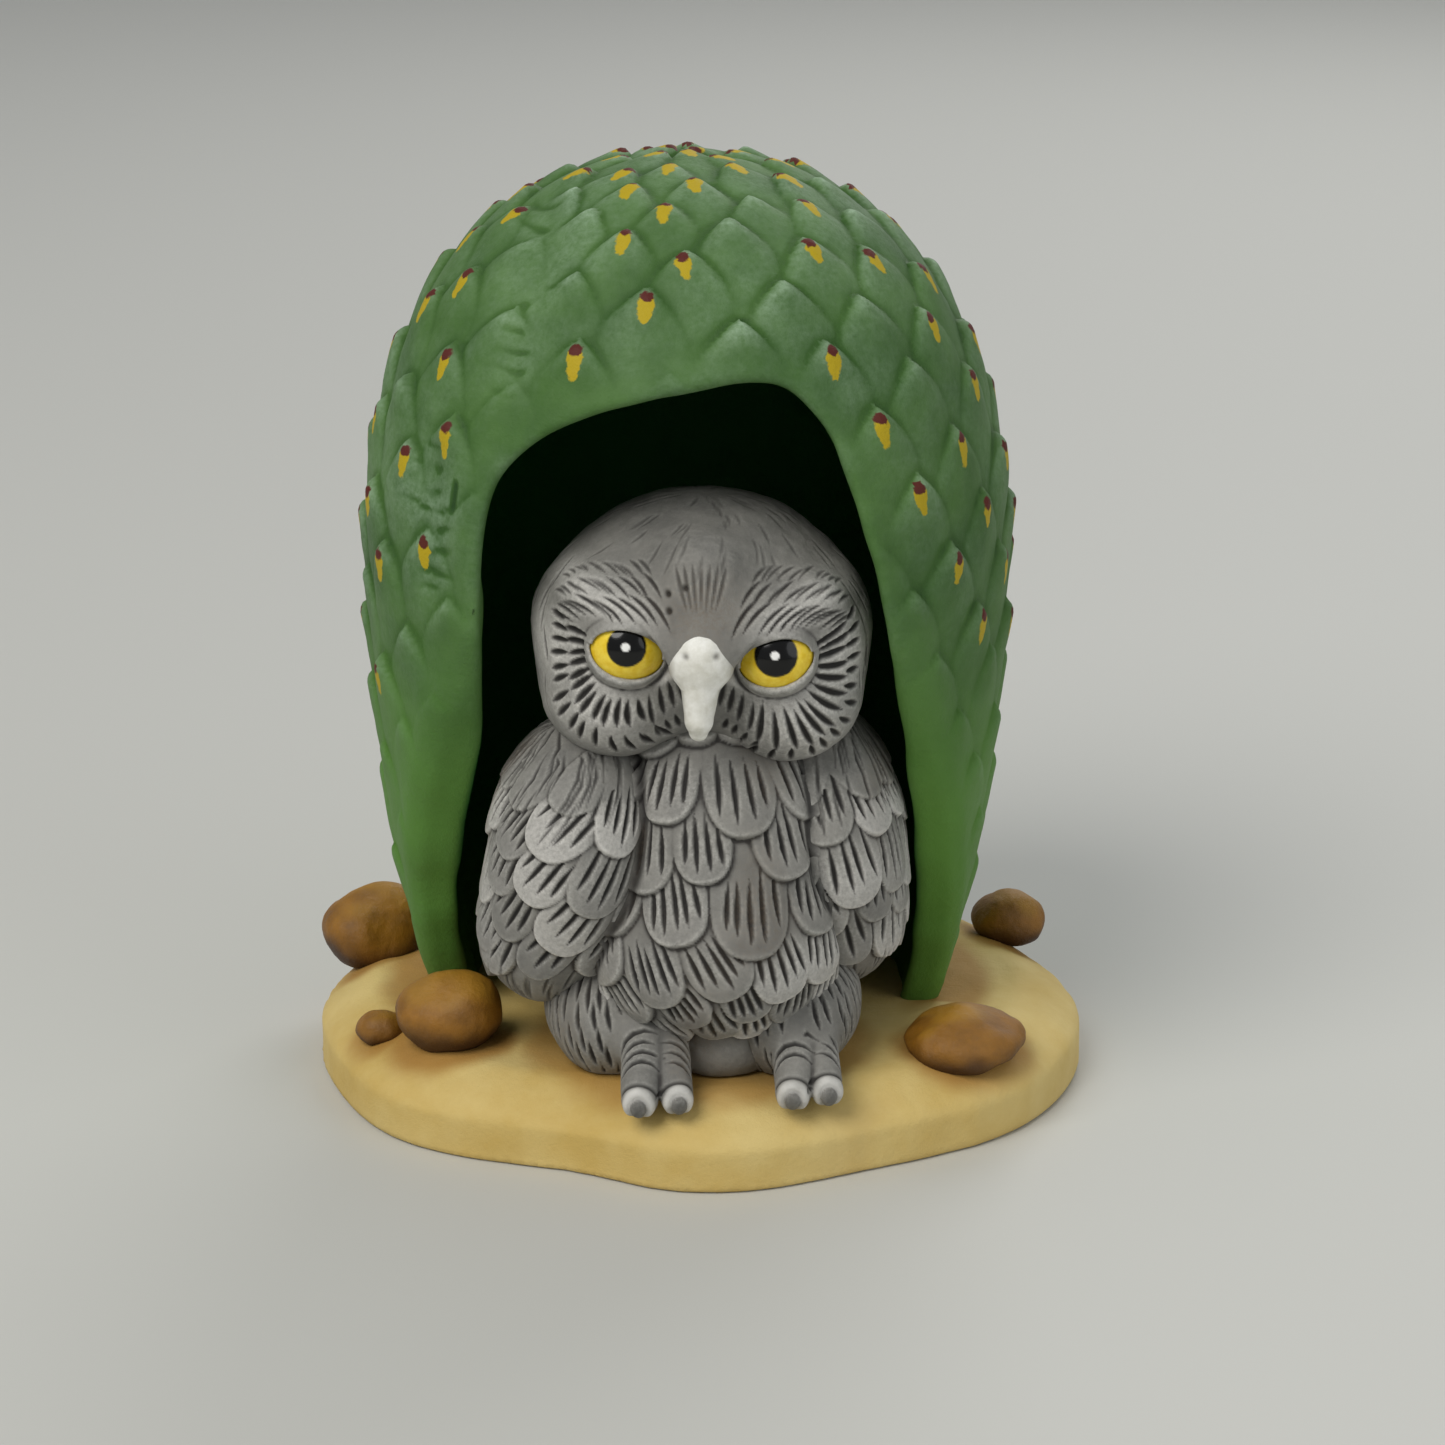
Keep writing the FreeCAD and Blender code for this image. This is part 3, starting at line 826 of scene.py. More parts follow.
def make_base():
    """The sand base: an uneven slab with a rounded rim and a shallow recess underneath."""
    height = base_high[2]
    table = np.linspace(-math.pi, math.pi, 721)
    reach_table = base_reach(table)

    def reach_at(x, y):
        return np.interp(np.arctan2(y, x), table, reach_table)

    def field(points):
        x, y, z = points.T
        reach = reach_at(x, y)
        rho = np.hypot(x, y)
        share = np.clip(z / height, 0, 1)
        profile = 1.0 - 0.11 * smoothstep(0.45, 1.02, share) ** 1.4
        side = (rho - reach * profile) * 0.80
        slab = smooth_max(side, z - height, 2.4)
        slab = smooth_max(slab, -z, 0.8)
        recess = smooth_max(rho - reach * 0.78, z - 5.0, 2.0)
        return smooth_max(slab, -recess, 1.0)

    points, faces, normal = sculpt(field, base_low - 1, base_high + 1, "base")
    x, y, z = points.T
    top = smoothstep(0.2, 0.7, normal[:, 2]) + 0.5 * (np.abs(normal[:, 2]) < 0.6)
    top = np.clip(top, 0, 1) * (z > 0.6)
    lift = top * (0.32 * noise(points, 13.0, 41) + 0.14 * rough_noise(points, 5.0, 43)) - 0.15 * top
    points = points + normal * lift[:, None]
    masks = {
        # both airbrushed brown and painted shade where things stand on the base
        "shade": base_shade(x, y, z, points, np.abs(np.hypot(x, y) - reach_at(x, y))),
        "bare": (normal[:, 2] < -0.93) | ((z < 5) & (np.hypot(x, y) < 32)),
    }
    add_piece("base_sand", "base_slab", sand_paint(), points, faces, masks)


def make_stone(name, seed):
    """A smooth stone, a little uneven."""
    low, high = box_mm(name)
    centre, size = (low + high) / 2, (high - low) / 2
    turn = {"stone_front_left_small": rotation(-35), "stone_front_right": rotation(15)}.get(name)

    def field(points):
        drift = [noise(points, size.min() * 1.3, seed + k) for k in range(3)]
        bumpy = points + 0.35 * size.min() * 0.5 * np.stack(drift, axis=1)
        return ellipsoid_field(bumpy, centre, size, turn)

    points, faces, normal = sculpt(field, low - 1, high + 1, "stone")
    points = points + normal * (0.10 * rough_noise(points, 1.8, seed + 5))[:, None]
    up = (points[:, 2] - low[2]) / (high[2] - low[2])
    masks = {
        # darker towards the foot: both airbrush and painted shade
        "shade": smoothstep(0.62, 0.2, up + 0.12 * noise(points, 2.5, seed + 7)),
        # painted highlight on the top of the stone
        "crown": 0.5 * smoothstep(0.7, 1.0, up + 0.2 * noise(points, 3.0, seed + 8)),
    }
    add_piece(f"{name}_shaped", name, stone_material, points, faces, masks)


# ---- feathers: shingles and cuts


def land(field, origins, directions, reach=45.0):
    """Where rays from inside a piece leave its surface, with the surface's normals there."""
    origins = np.asarray(origins, float).reshape(-1, 3)
    directions = unit(np.asarray(directions, float).reshape(-1, 3))
    near, far = np.zeros(len(origins)), np.full(len(origins), reach)
    for _ in range(22):
        half = (near + far) / 2
        inside = field(origins + directions * half[:, None]) < 0
        near, far = np.where(inside, half, near), np.where(inside, far, half)
    places = origins + directions * near[:, None]
    return places, unit(field_gradient(field, places, 0.4))


def polar_rays(degrees, rises):
    """Directions by azimuth (0 is the front, positive to the right) and rise above level, in degrees."""
    azimuth, rise = np.radians(np.asarray(degrees, float)), np.radians(np.asarray(rises, float))
    flat = np.cos(rise)
    return np.stack([np.sin(azimuth) * flat, -np.cos(azimuth) * flat, np.sin(rise)], axis=-1)


class Relief:
    """What is modelled on a piece's surface: overlapping feathers that stand up, and cuts that go in."""

    def __init__(self, points, seed=0):
        self.points = points
        self.height = np.zeros(len(points))
        self.depth = np.zeros(len(points))
        self.pale = np.zeros(len(points))
        self.random = np.random.default_rng(seed)

    def shake(self, size):
        """A random amount of up to the size, either way."""
        return size * self.random.uniform(-1, 1)

    def near(self, centre, reach):
        return np.flatnonzero(np.abs(self.points - centre).max(1) < reach)

    def feather(self, centre, normal, tip_way, half_width, half_length, height, cuts=4, pale=0.3):
        """One feather: it rises towards a rounded tip, where it ends in a step, and has tapered cuts."""
        tip_way = unit(tip_way - normal * (tip_way @ normal))
        side = np.cross(normal, tip_way)
        chosen = self.near(centre, 1.6 * max(half_width, half_length))
        offset = self.points[chosen] - centre
        u = offset @ side / half_width
        v = offset @ tip_way / half_length
        facing = np.abs(offset @ normal) < 0.9 * max(half_width, half_length)
        edge = np.where(v > 0, np.abs(u) ** 2.4 + np.abs(v) ** 2.4, np.abs(u) ** 2.4)
        inside = (edge < 1) & (v > -1.15) & facing
        rise = np.clip((v + 1.15) / 2.0, 0, 1) ** 0.9
        crown = 0.55 + 0.45 * np.sqrt(np.clip(1 - np.abs(u) ** 2.2, 0, 1))
        lip = smoothstep(1.0, 0.80, edge)
        lifted = height * rise * crown * (0.35 + 0.65 * lip) * inside
        wins = lifted > self.height[chosen]
        owned = chosen[wins]
        self.height[owned] = lifted[wins]
        groove = np.zeros(len(chosen))
        for k in range(cuts):
            place = 0.0 if cuts == 1 else (2 * (k + 0.5) / cuts - 1) * 0.86
            place = place + self.shake(0.05)
            start = -0.55 + self.shake(0.2)
            end = 0.66 - 0.35 * place**2 + self.shake(0.1)
            share = np.clip((v - start) / (end - start), 0, 1)
            swell = np.sin(math.pi * np.clip(share, 0.02, 0.98)) ** 0.7 * (0.45 + 0.55 * share)
            distance = np.abs(u - place * (0.86 + 0.16 * v)) * half_width
            width = 0.44 * swell + 0.02
            within = (v > start) & (v < end)
            groove = np.maximum(groove, np.clip(1 - (distance / width) ** 2, 0, 1) * swell * within)
        self.depth[owned] = groove[wins] * 0.58
        self.pale[owned] = pale * smoothstep(-0.6, 0.7, v[wins])

    def cut(self, path, width=0.40, depth=0.45):
        """A tapered cut along a path of points on the surface, widest past its middle."""
        path = np.asarray(path, float)
        centre = (path.max(0) + path.min(0)) / 2
        chosen = self.near(centre, np.abs(path - centre).max() + 1.5)
        if len(chosen) == 0:
            return
        spots = self.points[chosen]
        lengths = np.linalg.norm(np.diff(path, axis=0), axis=1)
        total, done = lengths.sum(), 0.0
        best = np.full(len(chosen), 99.0)
        share = np.zeros(len(chosen))
        for start, end, length in zip(path[:-1], path[1:], lengths):
            along = (end - start) / max(length, 1e-9)
            t = np.clip((spots - start) @ along, 0, length)
            distance = np.linalg.norm(spots - start - t[:, None] * along, axis=1)
            closer = distance < best
            best = np.where(closer, distance, best)
            share = np.where(closer, (done + t) / total, share)
            done += length
        swell = np.sin(math.pi * np.clip(share, 0.03, 0.97)) ** 0.6 * (0.6 + 0.4 * share)
        groove = depth * swell * np.clip(1 - (best / (width * swell + 0.05)) ** 2, 0, 1)
        self.depth[chosen] = np.maximum(self.depth[chosen], groove)

    def apply(self, normal, extra=0.0):
        """The points moved out by the feathers and in by the cuts, and the share of each cut's depth."""
        moved = self.points + normal * (self.height - self.depth + extra)[:, None]
        return moved, np.clip(self.depth / 0.42, 0, 1)


# ---- owl head

head_low, head_high = box_mm("owl_head")
HEAD = np.array([(head_low[0] + head_high[0]) / 2, head_high[1] - 15.5, 57.5])
EYES = {"left": middle("eye_left"), "right": middle("eye_right")}
EYE_RADIUS = half_size("eye_left")[0]
EYE_TILT = 13.0  # degrees that each eye's slit drops towards the beak
PINHOLES = ((-3.4, 63.6), (-3.3, 62.1), (-1.7, 64.3))  # in the forehead: across from the middle, and up


def mirrored(side, x, y, z):
    """A place on the head, for a side of -1 or 1; the head leans, so the right side sits lower."""
    return np.array([HEAD[0] + side * x, y, z - 0.030 * side * x])


def head_field(points):
    """The head: a round skull, temples, cheeks, brows, a bridge, and lids in their hollows."""
    shape = ellipsoid_field(points, (HEAD[0], HEAD[1] + 0.3, 57.6), (16.2, 15.0, 13.0))
    for side in (-1, 1):
        temple = ellipsoid_field(points, mirrored(side, 9.2, -21.4, 57.0), (8.6, 9.6, 7.6))
        shape = smooth_min(shape, temple, 3.5)
        cheek = ellipsoid_field(points, mirrored(side, 8.9, -21.6, 50.7), (8.2, 11.2, 7.6))
        shape = smooth_min(shape, cheek, 2.6)
        inner_end, outer_end = mirrored(side, 1.6, -34.2, 57.8), mirrored(side, 11.0, -28.4, 61.4)
        brow = capsule_field(points, inner_end, outer_end, 1.5, 2.4)
        shape = smooth_min(shape, brow, 4.0)
    bridge = capsule_field(points, (HEAD[0], -32.8, 58.6), (HEAD[0], -29.0, 65.0), 2.0, 3.2)
    shape = smooth_min(shape, bridge, 5.0)
    for side, eye in zip((-1, 1), EYES.values()):
        turn = rotation(pitch=-side * EYE_TILT)
        hollow = ellipsoid_field(points, eye + np.array([0.15 * side, -3.6, -0.5]), (4.7, 3.6, 3.4), turn)
        shape = smooth_max(shape, -hollow, 1.0)
        shape = smooth_min(shape, lid_field(points, eye, side), 0.7)
    return shape


def lid_field(points, eye, side):
    """The raised lids: a ring round the eye's opening, on the eye's dome."""
    turn = rotation(pitch=-side * EYE_TILT)
    local = (points - eye) @ turn
    x, y, z = local.T
    across, up = 3.95, 2.75
    size = np.sqrt((x / across) ** 2 + (z / up) ** 2)
    from_ring = (size - 1) * np.where(size > 0.05, np.hypot(x, z) / np.maximum(size, 0.05), 2.0)
    dome = np.sqrt(np.clip((EYE_RADIUS + 0.15) ** 2 - x**2 - z**2, 0.2, None))
    thickness = np.where(z > 0, 0.85, 0.62)
    return np.hypot(from_ring - 0.55, y + dome) - thickness


def head_path(azimuths, rises):
    """Places on the head in the given directions from its middle, in degrees."""
    places, _ = land(head_field, np.tile(HEAD, (len(azimuths), 1)), polar_rays(azimuths, rises))
    return places


def face_path(side, eye, out, up, angle, length, bend=0.0):
    """A path on the face from a place beside the eye, in mm; an angle of 0 is outwards, 90 is up."""
    steps = np.linspace(0, length, 6)
    turned = np.radians(angle + bend * steps / length)
    across = out + np.cos(turned) * steps
    rise = up + np.sin(turned) * steps
    targets = eye + np.stack([side * across, 0.02 * (across**2 + rise**2) - 3.6, rise], axis=1)
    places, _ = land(head_field, np.tile(HEAD, (6, 1)), targets - HEAD)
    return places


def ring_cut(work, side, eye, angle, near, length, bend, width, depth):
    """A cut of the facial disc, which points away from the eye."""
    turned = math.radians(angle)
    start = (near * math.cos(turned), near * math.sin(turned))
    work.cut(face_path(side, eye, *start, angle, length, bend), width, depth)


def disc_cuts(work, side, eye):
    """Two rings of cuts under and beside an eye, and two rows of short ones between it and the beak."""
    length = 6.6 if side > 0 else 3.9
    for k in range(13):
        angle = 16 - 9.8 * k + work.shake(1.5)
        near = 5.0 + 0.3 * (k % 2) + work.shake(0.25)
        ring_cut(work, side, eye, angle, near, length - 0.1 * k, 7 * side, 0.50, 0.66)
    for k in range(15):
        angle = 20 - 9.0 * k + work.shake(1.5)
        near = (10.6 if side > 0 else 8.6) + work.shake(0.5)
        ring_cut(work, side, eye, angle, near, 3.8, 5 * side, 0.46, 0.56)
    for k in range(4):
        out = -2.0 - 1.05 * k
        work.cut(face_path(side, eye, out, -4.8 + 0.9 * k, -98, 3.8), 0.38, 0.44)
        work.cut(face_path(side, eye, out + 0.5, -9.4 + 0.5 * k, -98, 2.6), 0.38, 0.44)


def brow_cuts(work, side, eye):
    """Three rows of fine cuts that sweep up and outwards over an eye."""
    for row in range(3):
        for k in range(11):
            out = -5.0 + 1.2 * k + 1.3 * row + work.shake(0.3)
            up = 2.7 + 0.14 * k + 2.7 * row - 0.07 * max(0, k - 6) ** 2 + work.shake(0.3)
            angle = 58 - 3.4 * k + work.shake(4)
            path = face_path(side, eye, out, up, angle, 5.2 - 0.5 * row, -14)
            work.cut(path, 0.27, 0.36 - 0.08 * row)


def crown_cuts(work):
    """The forehead's lines, faint streaks on the crown, and short cuts down the sides and the back."""
    random = work.random
    for k in range(7):
        azimuth = (k - 3) * 3.4
        work.cut(head_path([azimuth * 0.5, azimuth * 0.8, azimuth * 1.1], [16, 24, 33]), 0.30, 0.20)
    for _ in range(90):
        azimuth, rise = random.uniform(-180, 180), random.uniform(34, 84)
        length = random.uniform(8, 16)
        rises = [rise - length, rise - length / 2, rise]
        work.cut(head_path([azimuth, azimuth + 3, azimuth + 5], rises), 0.30, 0.10)
    for _ in range(150):
        azimuth = random.uniform(62, 298)
        rise = random.uniform(-38, 36)
        work.cut(head_path([azimuth, azimuth + 2], [rise, rise - 13]), 0.36, 0.28)


def head_pale(x, z):
    """Where the face is dry-brushed pale: brows, cheeks, temples and the lower lids."""
    pale = np.zeros(len(x))
    for side, eye in zip((-1, 1), EYES.values()):
        dx, dz = (x - eye[0]) * side, z - eye[2]
        brow_line = dz - 4.4 - 0.36 * dx
        pale = np.maximum(pale, 0.85 * bell(brow_line, 1.9) * smoothstep(-5, 1, dx) * smoothstep(13, 8, dx))
        pale = np.maximum(pale, 0.95 * bell(np.hypot(dx - 3, dz + 7.5), 4.8))
        pale = np.maximum(pale, 0.90 * bell(np.hypot(dx - 8, dz + 1), 3.8))
        pale = np.maximum(pale, 0.8 * bell(np.hypot(dx, dz * 1.25) - 5.2, 0.5) * (dz < 0))
    return pale


def make_head():
    """The head with its cuts, pinholes in the forehead, and pale brows and cheeks."""
    points, faces, normal = sculpt(head_field, head_low - 4.0, head_high + 2.0, "head")
    work = Relief(points, 5)
    for side, eye in zip((-1, 1), EYES.values()):
        disc_cuts(work, side, eye)
        brow_cuts(work, side, eye)
    crown_cuts(work)
    x, y, z = points.T
    front = smoothstep(-20, -26, y)
    extra = 0.10 * rough_noise(points, 3.0, 71)
    pinholes = np.zeros(len(points))
    for across, up in PINHOLES:
        pinholes = np.maximum(pinholes, bell(np.hypot(x - HEAD[0] - across, z - up), 0.30) * front)
    moved, cut = work.apply(normal, extra - 0.4 * pinholes)
    cut = np.maximum(cut, pinholes)
    masks = {
        "relief": relief(moved, faces, 10),
        "cut": cut * 0.88,
        "pale": head_pale(x, z) * front,
        "white": np.zeros(len(points)),
        "warm": front * bell(np.hypot((x - HEAD[0]) / 1.2, z - 62), 3.4) * 0.55,
    }
    add_piece("owl_head_sculpted", "owl_head", owl_material, moved, faces, masks)


def make_eye(name, side):
    """A glazed dome with its painted iris, pupil and dot; the pupil sits high, partly under the lid."""
    centre = middle(name)

    def field(points):
        return np.linalg.norm(points - centre, axis=1) - EYE_RADIUS

    points, faces, _ = sculpt(field, centre - 5, centre + 5, "eye")
    local = points - centre
    x, z = local[:, 0], local[:, 2]
    turned = local @ rotation(pitch=-side * EYE_TILT)
    away = np.sqrt((turned[:, 0] / 3.9) ** 2 + (turned[:, 2] / 2.75) ** 2)
    masks = {
        "pupil": smoothstep(0.09, -0.08, np.hypot(x, z - 0.85) - (2.12 + 0.1 * side)),
        "dot": smoothstep(0.50, 0.38, np.hypot(x + 0.1, z - 0.95)) * (local[:, 1] < 0),
        "rim": smoothstep(0.92, 1.12, away),
    }
    add_piece(f"{name}_dome", name, eye_material, points, faces, masks)


def make_beak():
    """A rounded cere with two nostril pits, and a hook that tapers to a point."""
    low, high = box_mm("beak")
    centre = (low + high) / 2

    def field(points):
        x, bend = centre[0], (centre[0] - 0.25, -35.7, 50.9)
        cere = ellipsoid_field(points, (x, -34.0, 57.4), (3.15, 3.8, 3.5))
        shoulders = capsule_field(points, (x - 1.1, -34.8, 56.4), (x + 1.1, -34.8, 56.4), 1.9, 1.9)
        cere = smooth_min(cere, shoulders, 1.4)
        hook = capsule_field(points, (x - 0.05, -35.2, 55.2), bend, 2.15, 1.42)
        point = capsule_field(points, bend, (x - 0.3, -35.4, 49.7), 1.36, 0.98)
        return smooth_min(smooth_min(cere, hook, 0.6), point, 0.3)

    points, faces, normal = sculpt(field, low - 1.5, high + 1.5, "beak")
    x, y, z = points.T
    pits = np.zeros(len(points))
    for side in (-1, 1):
        pits = np.maximum(pits, bell(np.hypot(x - centre[0] - 1.6 * side, z - 58.2), 0.34) * (y < -34))
    lift = 0.05 * rough_noise(points, 1.8, 81) - 0.16 * pits
    moved = points + normal * lift[:, None]
    half_width = np.where(z > 54.4, 3.7, 2.3)
    shade = np.maximum(0.8 * pits, 0.75 * smoothstep(0.66, 1.0, np.abs(x - centre[0]) / half_width))
    shade = np.maximum(shade, 0.9 * smoothstep(-34.0, -32.2, y))
    add_piece("beak_shaped", "beak", beak_paint(), moved, faces, {"shade": shade})


# ---- owl torso, wings and legs

torso_low, torso_high = box_mm("owl_torso")
BODY = np.array([0.0, -17.0, 0.0])
DOWN = np.array([0.0, 0.0, -1.0])


def torso_field(points):
    """The body: chest, belly and rump, and the part between the legs, cut level at its foot."""
    chest = ellipsoid_field(points, (2.0, -17.8, 34.0), (14.0, 15.4, 15.5))
    belly = ellipsoid_field(points, (1.4, -18.6, 23.5), (15.6, 17.6, 12.6))
    shape = smooth_min(chest, belly, 5.0)
    rump = ellipsoid_field(points, (0.4, -9.0, 20.0), (15.0, 9.0, 12.0))
    shape = smooth_min(shape, rump, 4.0)
    under = ellipsoid_field(points, (2.6, -23.0, 12.0), (7.0, 8.0, 6.0))
    shape = smooth_min(shape, under, 2.0)
    return smooth_max(shape, torso_low[2] - 0.3 - points[:, 2], 0.5)


def on_torso(azimuths, heights, field=torso_field, axis=BODY):
    """Places on a surface round an upright axis, by azimuth in degrees and height in mm."""
    origins = np.array([[axis[0], axis[1], z] for z in np.broadcast_to(heights, np.shape(azimuths))])
    return land(field, origins, polar_rays(azimuths, np.zeros(len(origins))))


def down_path(azimuth, height, turns, drop, field=torso_field, axis=BODY):
    """Three places down a surface: each is a drop lower, and is turned by its own angle."""
    heights = [height - drop * k for k in range(3)]
    places, _ = on_torso([azimuth + turn for turn in turns], heights, field, axis)
    return places


def row_azimuths(work, number, spacing, offset, spread):
    """Azimuths round a row of feathers; every other row is set half a feather on."""
    count = int(360 / spacing)
    for k in range(count):
        azimuth = (k + 0.5 * (number % 2)) * 360 / count + offset + work.shake(spread)
        yield (azimuth + 180) % 360 - 180


def torso_feathers(work):
    """Rows of feathers down the torso, and a fringe of short cuts round its foot."""
    random = work.random
    rows = (
        (47.5, 27, 3.3, 5.0, 4, 0.0), (42.3, 27, 3.7, 5.2, 4, 0.0), (36.6, 26, 3.6, 5.2, 4, 0.0),
        (30.4, 25, 4.0, 5.6, 5, 0.1), (24.6, 21, 3.5, 4.8, 5, 0.45), (20.4, 19, 3.2, 4.2, 5, 0.5),
        (16.8, 17, 2.8, 3.4, 4, 0.4),
    )
    for number, (height, spacing, half_width, half_length, cuts, lean) in enumerate(rows):
        for azimuth in row_azimuths(work, number, spacing, 4, 3.0):
            rise = work.shake(0.8) + 1.2 * smoothstep(20, 60, abs(azimuth)) * (lean == 0)
            place, normal = on_torso([azimuth], [height + rise])
            slant = lean * (1.0 if azimuth < 25 else 0.4) + work.shake(0.16)
            tip_way = DOWN - slant * np.cross(DOWN, normal[0])
            swell = 1 + work.shake(0.12)
            pale = 0.9 if random.uniform() < 0.30 else 0.25 * random.uniform()
            size = (half_width * swell, half_length * swell, 1.15)
            work.feather(place[0], normal[0], tip_way, *size, cuts, pale)
    for _ in range(160):
        azimuth, height = random.uniform(46, 334), random.uniform(11.5, 17.0)
        work.cut(down_path(azimuth, height, (0, -2, -5), 1.5), 0.28, 0.34)


def paint_masks(moved, faces, cut, pale):
    """The masks that the owl paint needs, for a feathered piece."""
    return {
        "relief": relief(moved, faces, 10),
        "cut": cut * 0.92,
        "pale": pale,
        "white": np.zeros(len(moved)),
        "warm": np.clip(noise(moved, 7.0, 91) - 0.15, 0, 1) * 0.7,
    }


def make_torso():
    """The feathered torso, with a groove along the edges of the wings that is painted dark as shade."""
    points, faces, normal = sculpt(torso_field, torso_low - 1.0, torso_high + 1.0, "torso")
    work = Relief(points, 15)
    torso_feathers(work)
    # nearness to the wings: a groove there, painted dark as shade
    beside = np.zeros(len(points))
    for side in (-1, 1):
        wing, _ = wing_field(side)
        beside = np.maximum(beside, bell(wing(points) - 0.7, 0.8))
    moved, cut = work.apply(normal, 0.08 * rough_noise(points, 3.0, 73) - 0.25 - 0.6 * beside)
    # painted shade along the wings' edges
    cut = np.maximum(cut, 0.85 * beside)
    masks = paint_masks(moved, faces, cut, work.pale)
    add_piece("owl_torso_feathered", "owl_torso", owl_material, moved, faces, masks)


def wing_field(side):
    """The folded wing's field: a leaf that leans in at the shoulder, and its centre."""
    if side < 0:
        body = np.array([-12.6, -21.2, 33.0])
        upper, lower, tip = (9.4, 12.6, 14.0), (6.0, 7.6, 6.6), np.array([-16.6, -21.0, 21.4])
    else:
        body = np.array([13.9, -16.6, 33.0])
        upper, lower, tip = (8.2, 11.8, 14.0), (5.4, 7.4, 6.6), np.array([15.8, -15.4, 21.4])

    def field(points):
        turn = rotation(pitch=-side * 7.0)
        shoulder = ellipsoid_field(points, body, upper, turn)
        end = ellipsoid_field(points, tip, lower)
        return smooth_min(shoulder, end, 6.5)

    return field, (body + tip) / 2


def wing_feathers(work, field, axis, side):
    """Rows of feathers down a wing, long cuts on its shoulder, short ones at its tip and inner side."""
    random = work.random
    lean = 0.75 if side < 0 else 0.25
    rows = (
        (44.0, 30, 3.2, 5.6, 0), (39.4, 30, 3.5, 5.8, 4), (34.0, 30, 3.6, 5.8, 4), (28.6, 31, 3.4, 5.6, 4),
        (23.8, 36, 3.0, 5.4, 3),
    )
    for number, (height, spacing, half_width, half_length, cuts) in enumerate(rows):
        for azimuth in row_azimuths(work, number, spacing, 6 * side, 4):
            place, normal = on_torso([azimuth], [height + work.shake(1.2)], field, axis)
            if -side * azimuth > 48:
                continue
            tip_way = DOWN + lean * np.array([side, 0.35, 0.0])
            swell = 1 + work.shake(0.14)
            pale = 0.15 if cuts == 0 else 1.0 if random.uniform() < 0.4 else 0.4 * random.uniform()
            size = (half_width * swell, half_length * swell, 0.9)
            work.feather(place[0], normal[0], tip_way, *size, cuts, pale)
    drift = 12 * side * lean
    for _ in range(150):
        azimuth, height = random.uniform(-180, 180), random.uniform(40.5, 49)
        work.cut(down_path(azimuth, height, (0, drift, 2 * drift), 2.5, field, axis), 0.26, 0.26)
    drift = 7 * side * lean
    for _ in range(80):
        azimuth, height = random.uniform(-180, 180), random.uniform(17.5, 22.0)
        if -side * azimuth > 66:
            height = random.uniform(18.0, 43.0)
        work.cut(down_path(azimuth, height, (0, drift, 2 * drift), 1.8, field, axis), 0.28, 0.24)


def make_wing(name, side, seed):
    """A folded wing with its rows of feathers."""
    field, axis = wing_field(side)
    low, high = box_mm(name)
    points, faces, normal = sculpt(field, low - 3.0, high + 3.0, "wing")
    work = Relief(points, seed)
    wing_feathers(work, field, axis, side)
    moved, cut = work.apply(normal, 0.08 * rough_noise(points, 3.0, seed + 2) - 0.25)
    masks = paint_masks(moved, faces, cut, work.pale)
    add_piece(f"{name}_feathered", name, owl_material, moved, faces, masks)


def toe_ends(name):
    """The root, tip and radius of a leg's two toes, from the front of the CAD leg."""
    low, _ = box_mm(name)
    if name == "owl_leg_left":
        xs, fronts = (-5.9, -2.0), (low[1] + 1.9, low[1] + 2.3)
    else:
        xs, fronts = (10.2, 13.7), (low[1] + 1.9, low[1] + 2.7)
    middle_x = sum(xs) / 2
    toes = []
    for x, front, radius in zip(xs, fronts, (1.95, 1.75)):
        root = np.array([middle_x + 0.45 * (x - middle_x) - 0.4, front + 8.4, 14.0])
        toes.append((root, np.array([x, front, 9.9]), radius))
    return toes


def toe_field(points, root, tip, radius):
    """A toe that tapers from its root to its tip."""
    return capsule_field(points, root, tip, 1.45 * radius, radius)


def leg_field(thigh, toes):
    """The leg's field: a thigh, a shank and two toes, cut level where they stand on the base."""
    foot = (toes[0][0] + toes[1][0]) / 2

    def field(points):
        shape = ellipsoid_field(points, thigh, (8.0, 9.4, 7.6))
        knee, ankle = thigh + np.array([0, -4.0, -1.0]), foot + np.array([0, 0.8, -0.6])
        shank = capsule_field(points, knee, ankle, 5.4, 3.2)
        shape = smooth_min(shape, shank, 3.0)
        inner, outer = (toe_field(points, *toe) for toe in toes)
        shape = smooth_min(shape, smooth_min(inner, outer, 0.35), 1.6)
        flat = np.where(points[:, 1] > -31.0, base_high[2] - 0.3, base_high[2] - 0.7)
        return smooth_max(shape, flat - points[:, 2], 0.5)

    return field


def thigh_cuts(work, field, thigh, toes):
    """Rows of short cuts down the thigh and shank, which stop at the toes."""
    for row in range(5):
        for k in range(24):
            azimuth = -120 + 240 * (k + 0.5 * (row % 2)) / 22 + work.shake(2)
            height = 20.5 - 2.4 * row + work.shake(0.5)
            places = down_path(azimuth, height, (0, 1, 3), 1.6, field, thigh)
            if min(toe_field(places, *toe).min() for toe in toes) > 0.3:
                work.cut(places, 0.34, 0.46)


def toe_rings(work, field, root, tip, radius):
    """Five bowed cuts across a toe."""
    axis = unit(tip - root)
    fan = np.linspace(-100, 100, 9)
    bow = 0.55 * np.cos(np.radians(fan))
    ways = np.stack([np.sin(np.radians(fan)), np.zeros(9), np.cos(np.radians(fan))], axis=1)
    for k in range(5):
        centre = root + (tip - root) * (0.30 + 0.13 * k)
        origins = centre - np.outer(bow, axis)
        places, _ = land(field, origins, ways, 6.0)
        close = np.linalg.norm(places - origins, axis=1) < radius * 1.7
        if close.sum() > 3:
            work.cut(places[close], 0.36, 0.38)


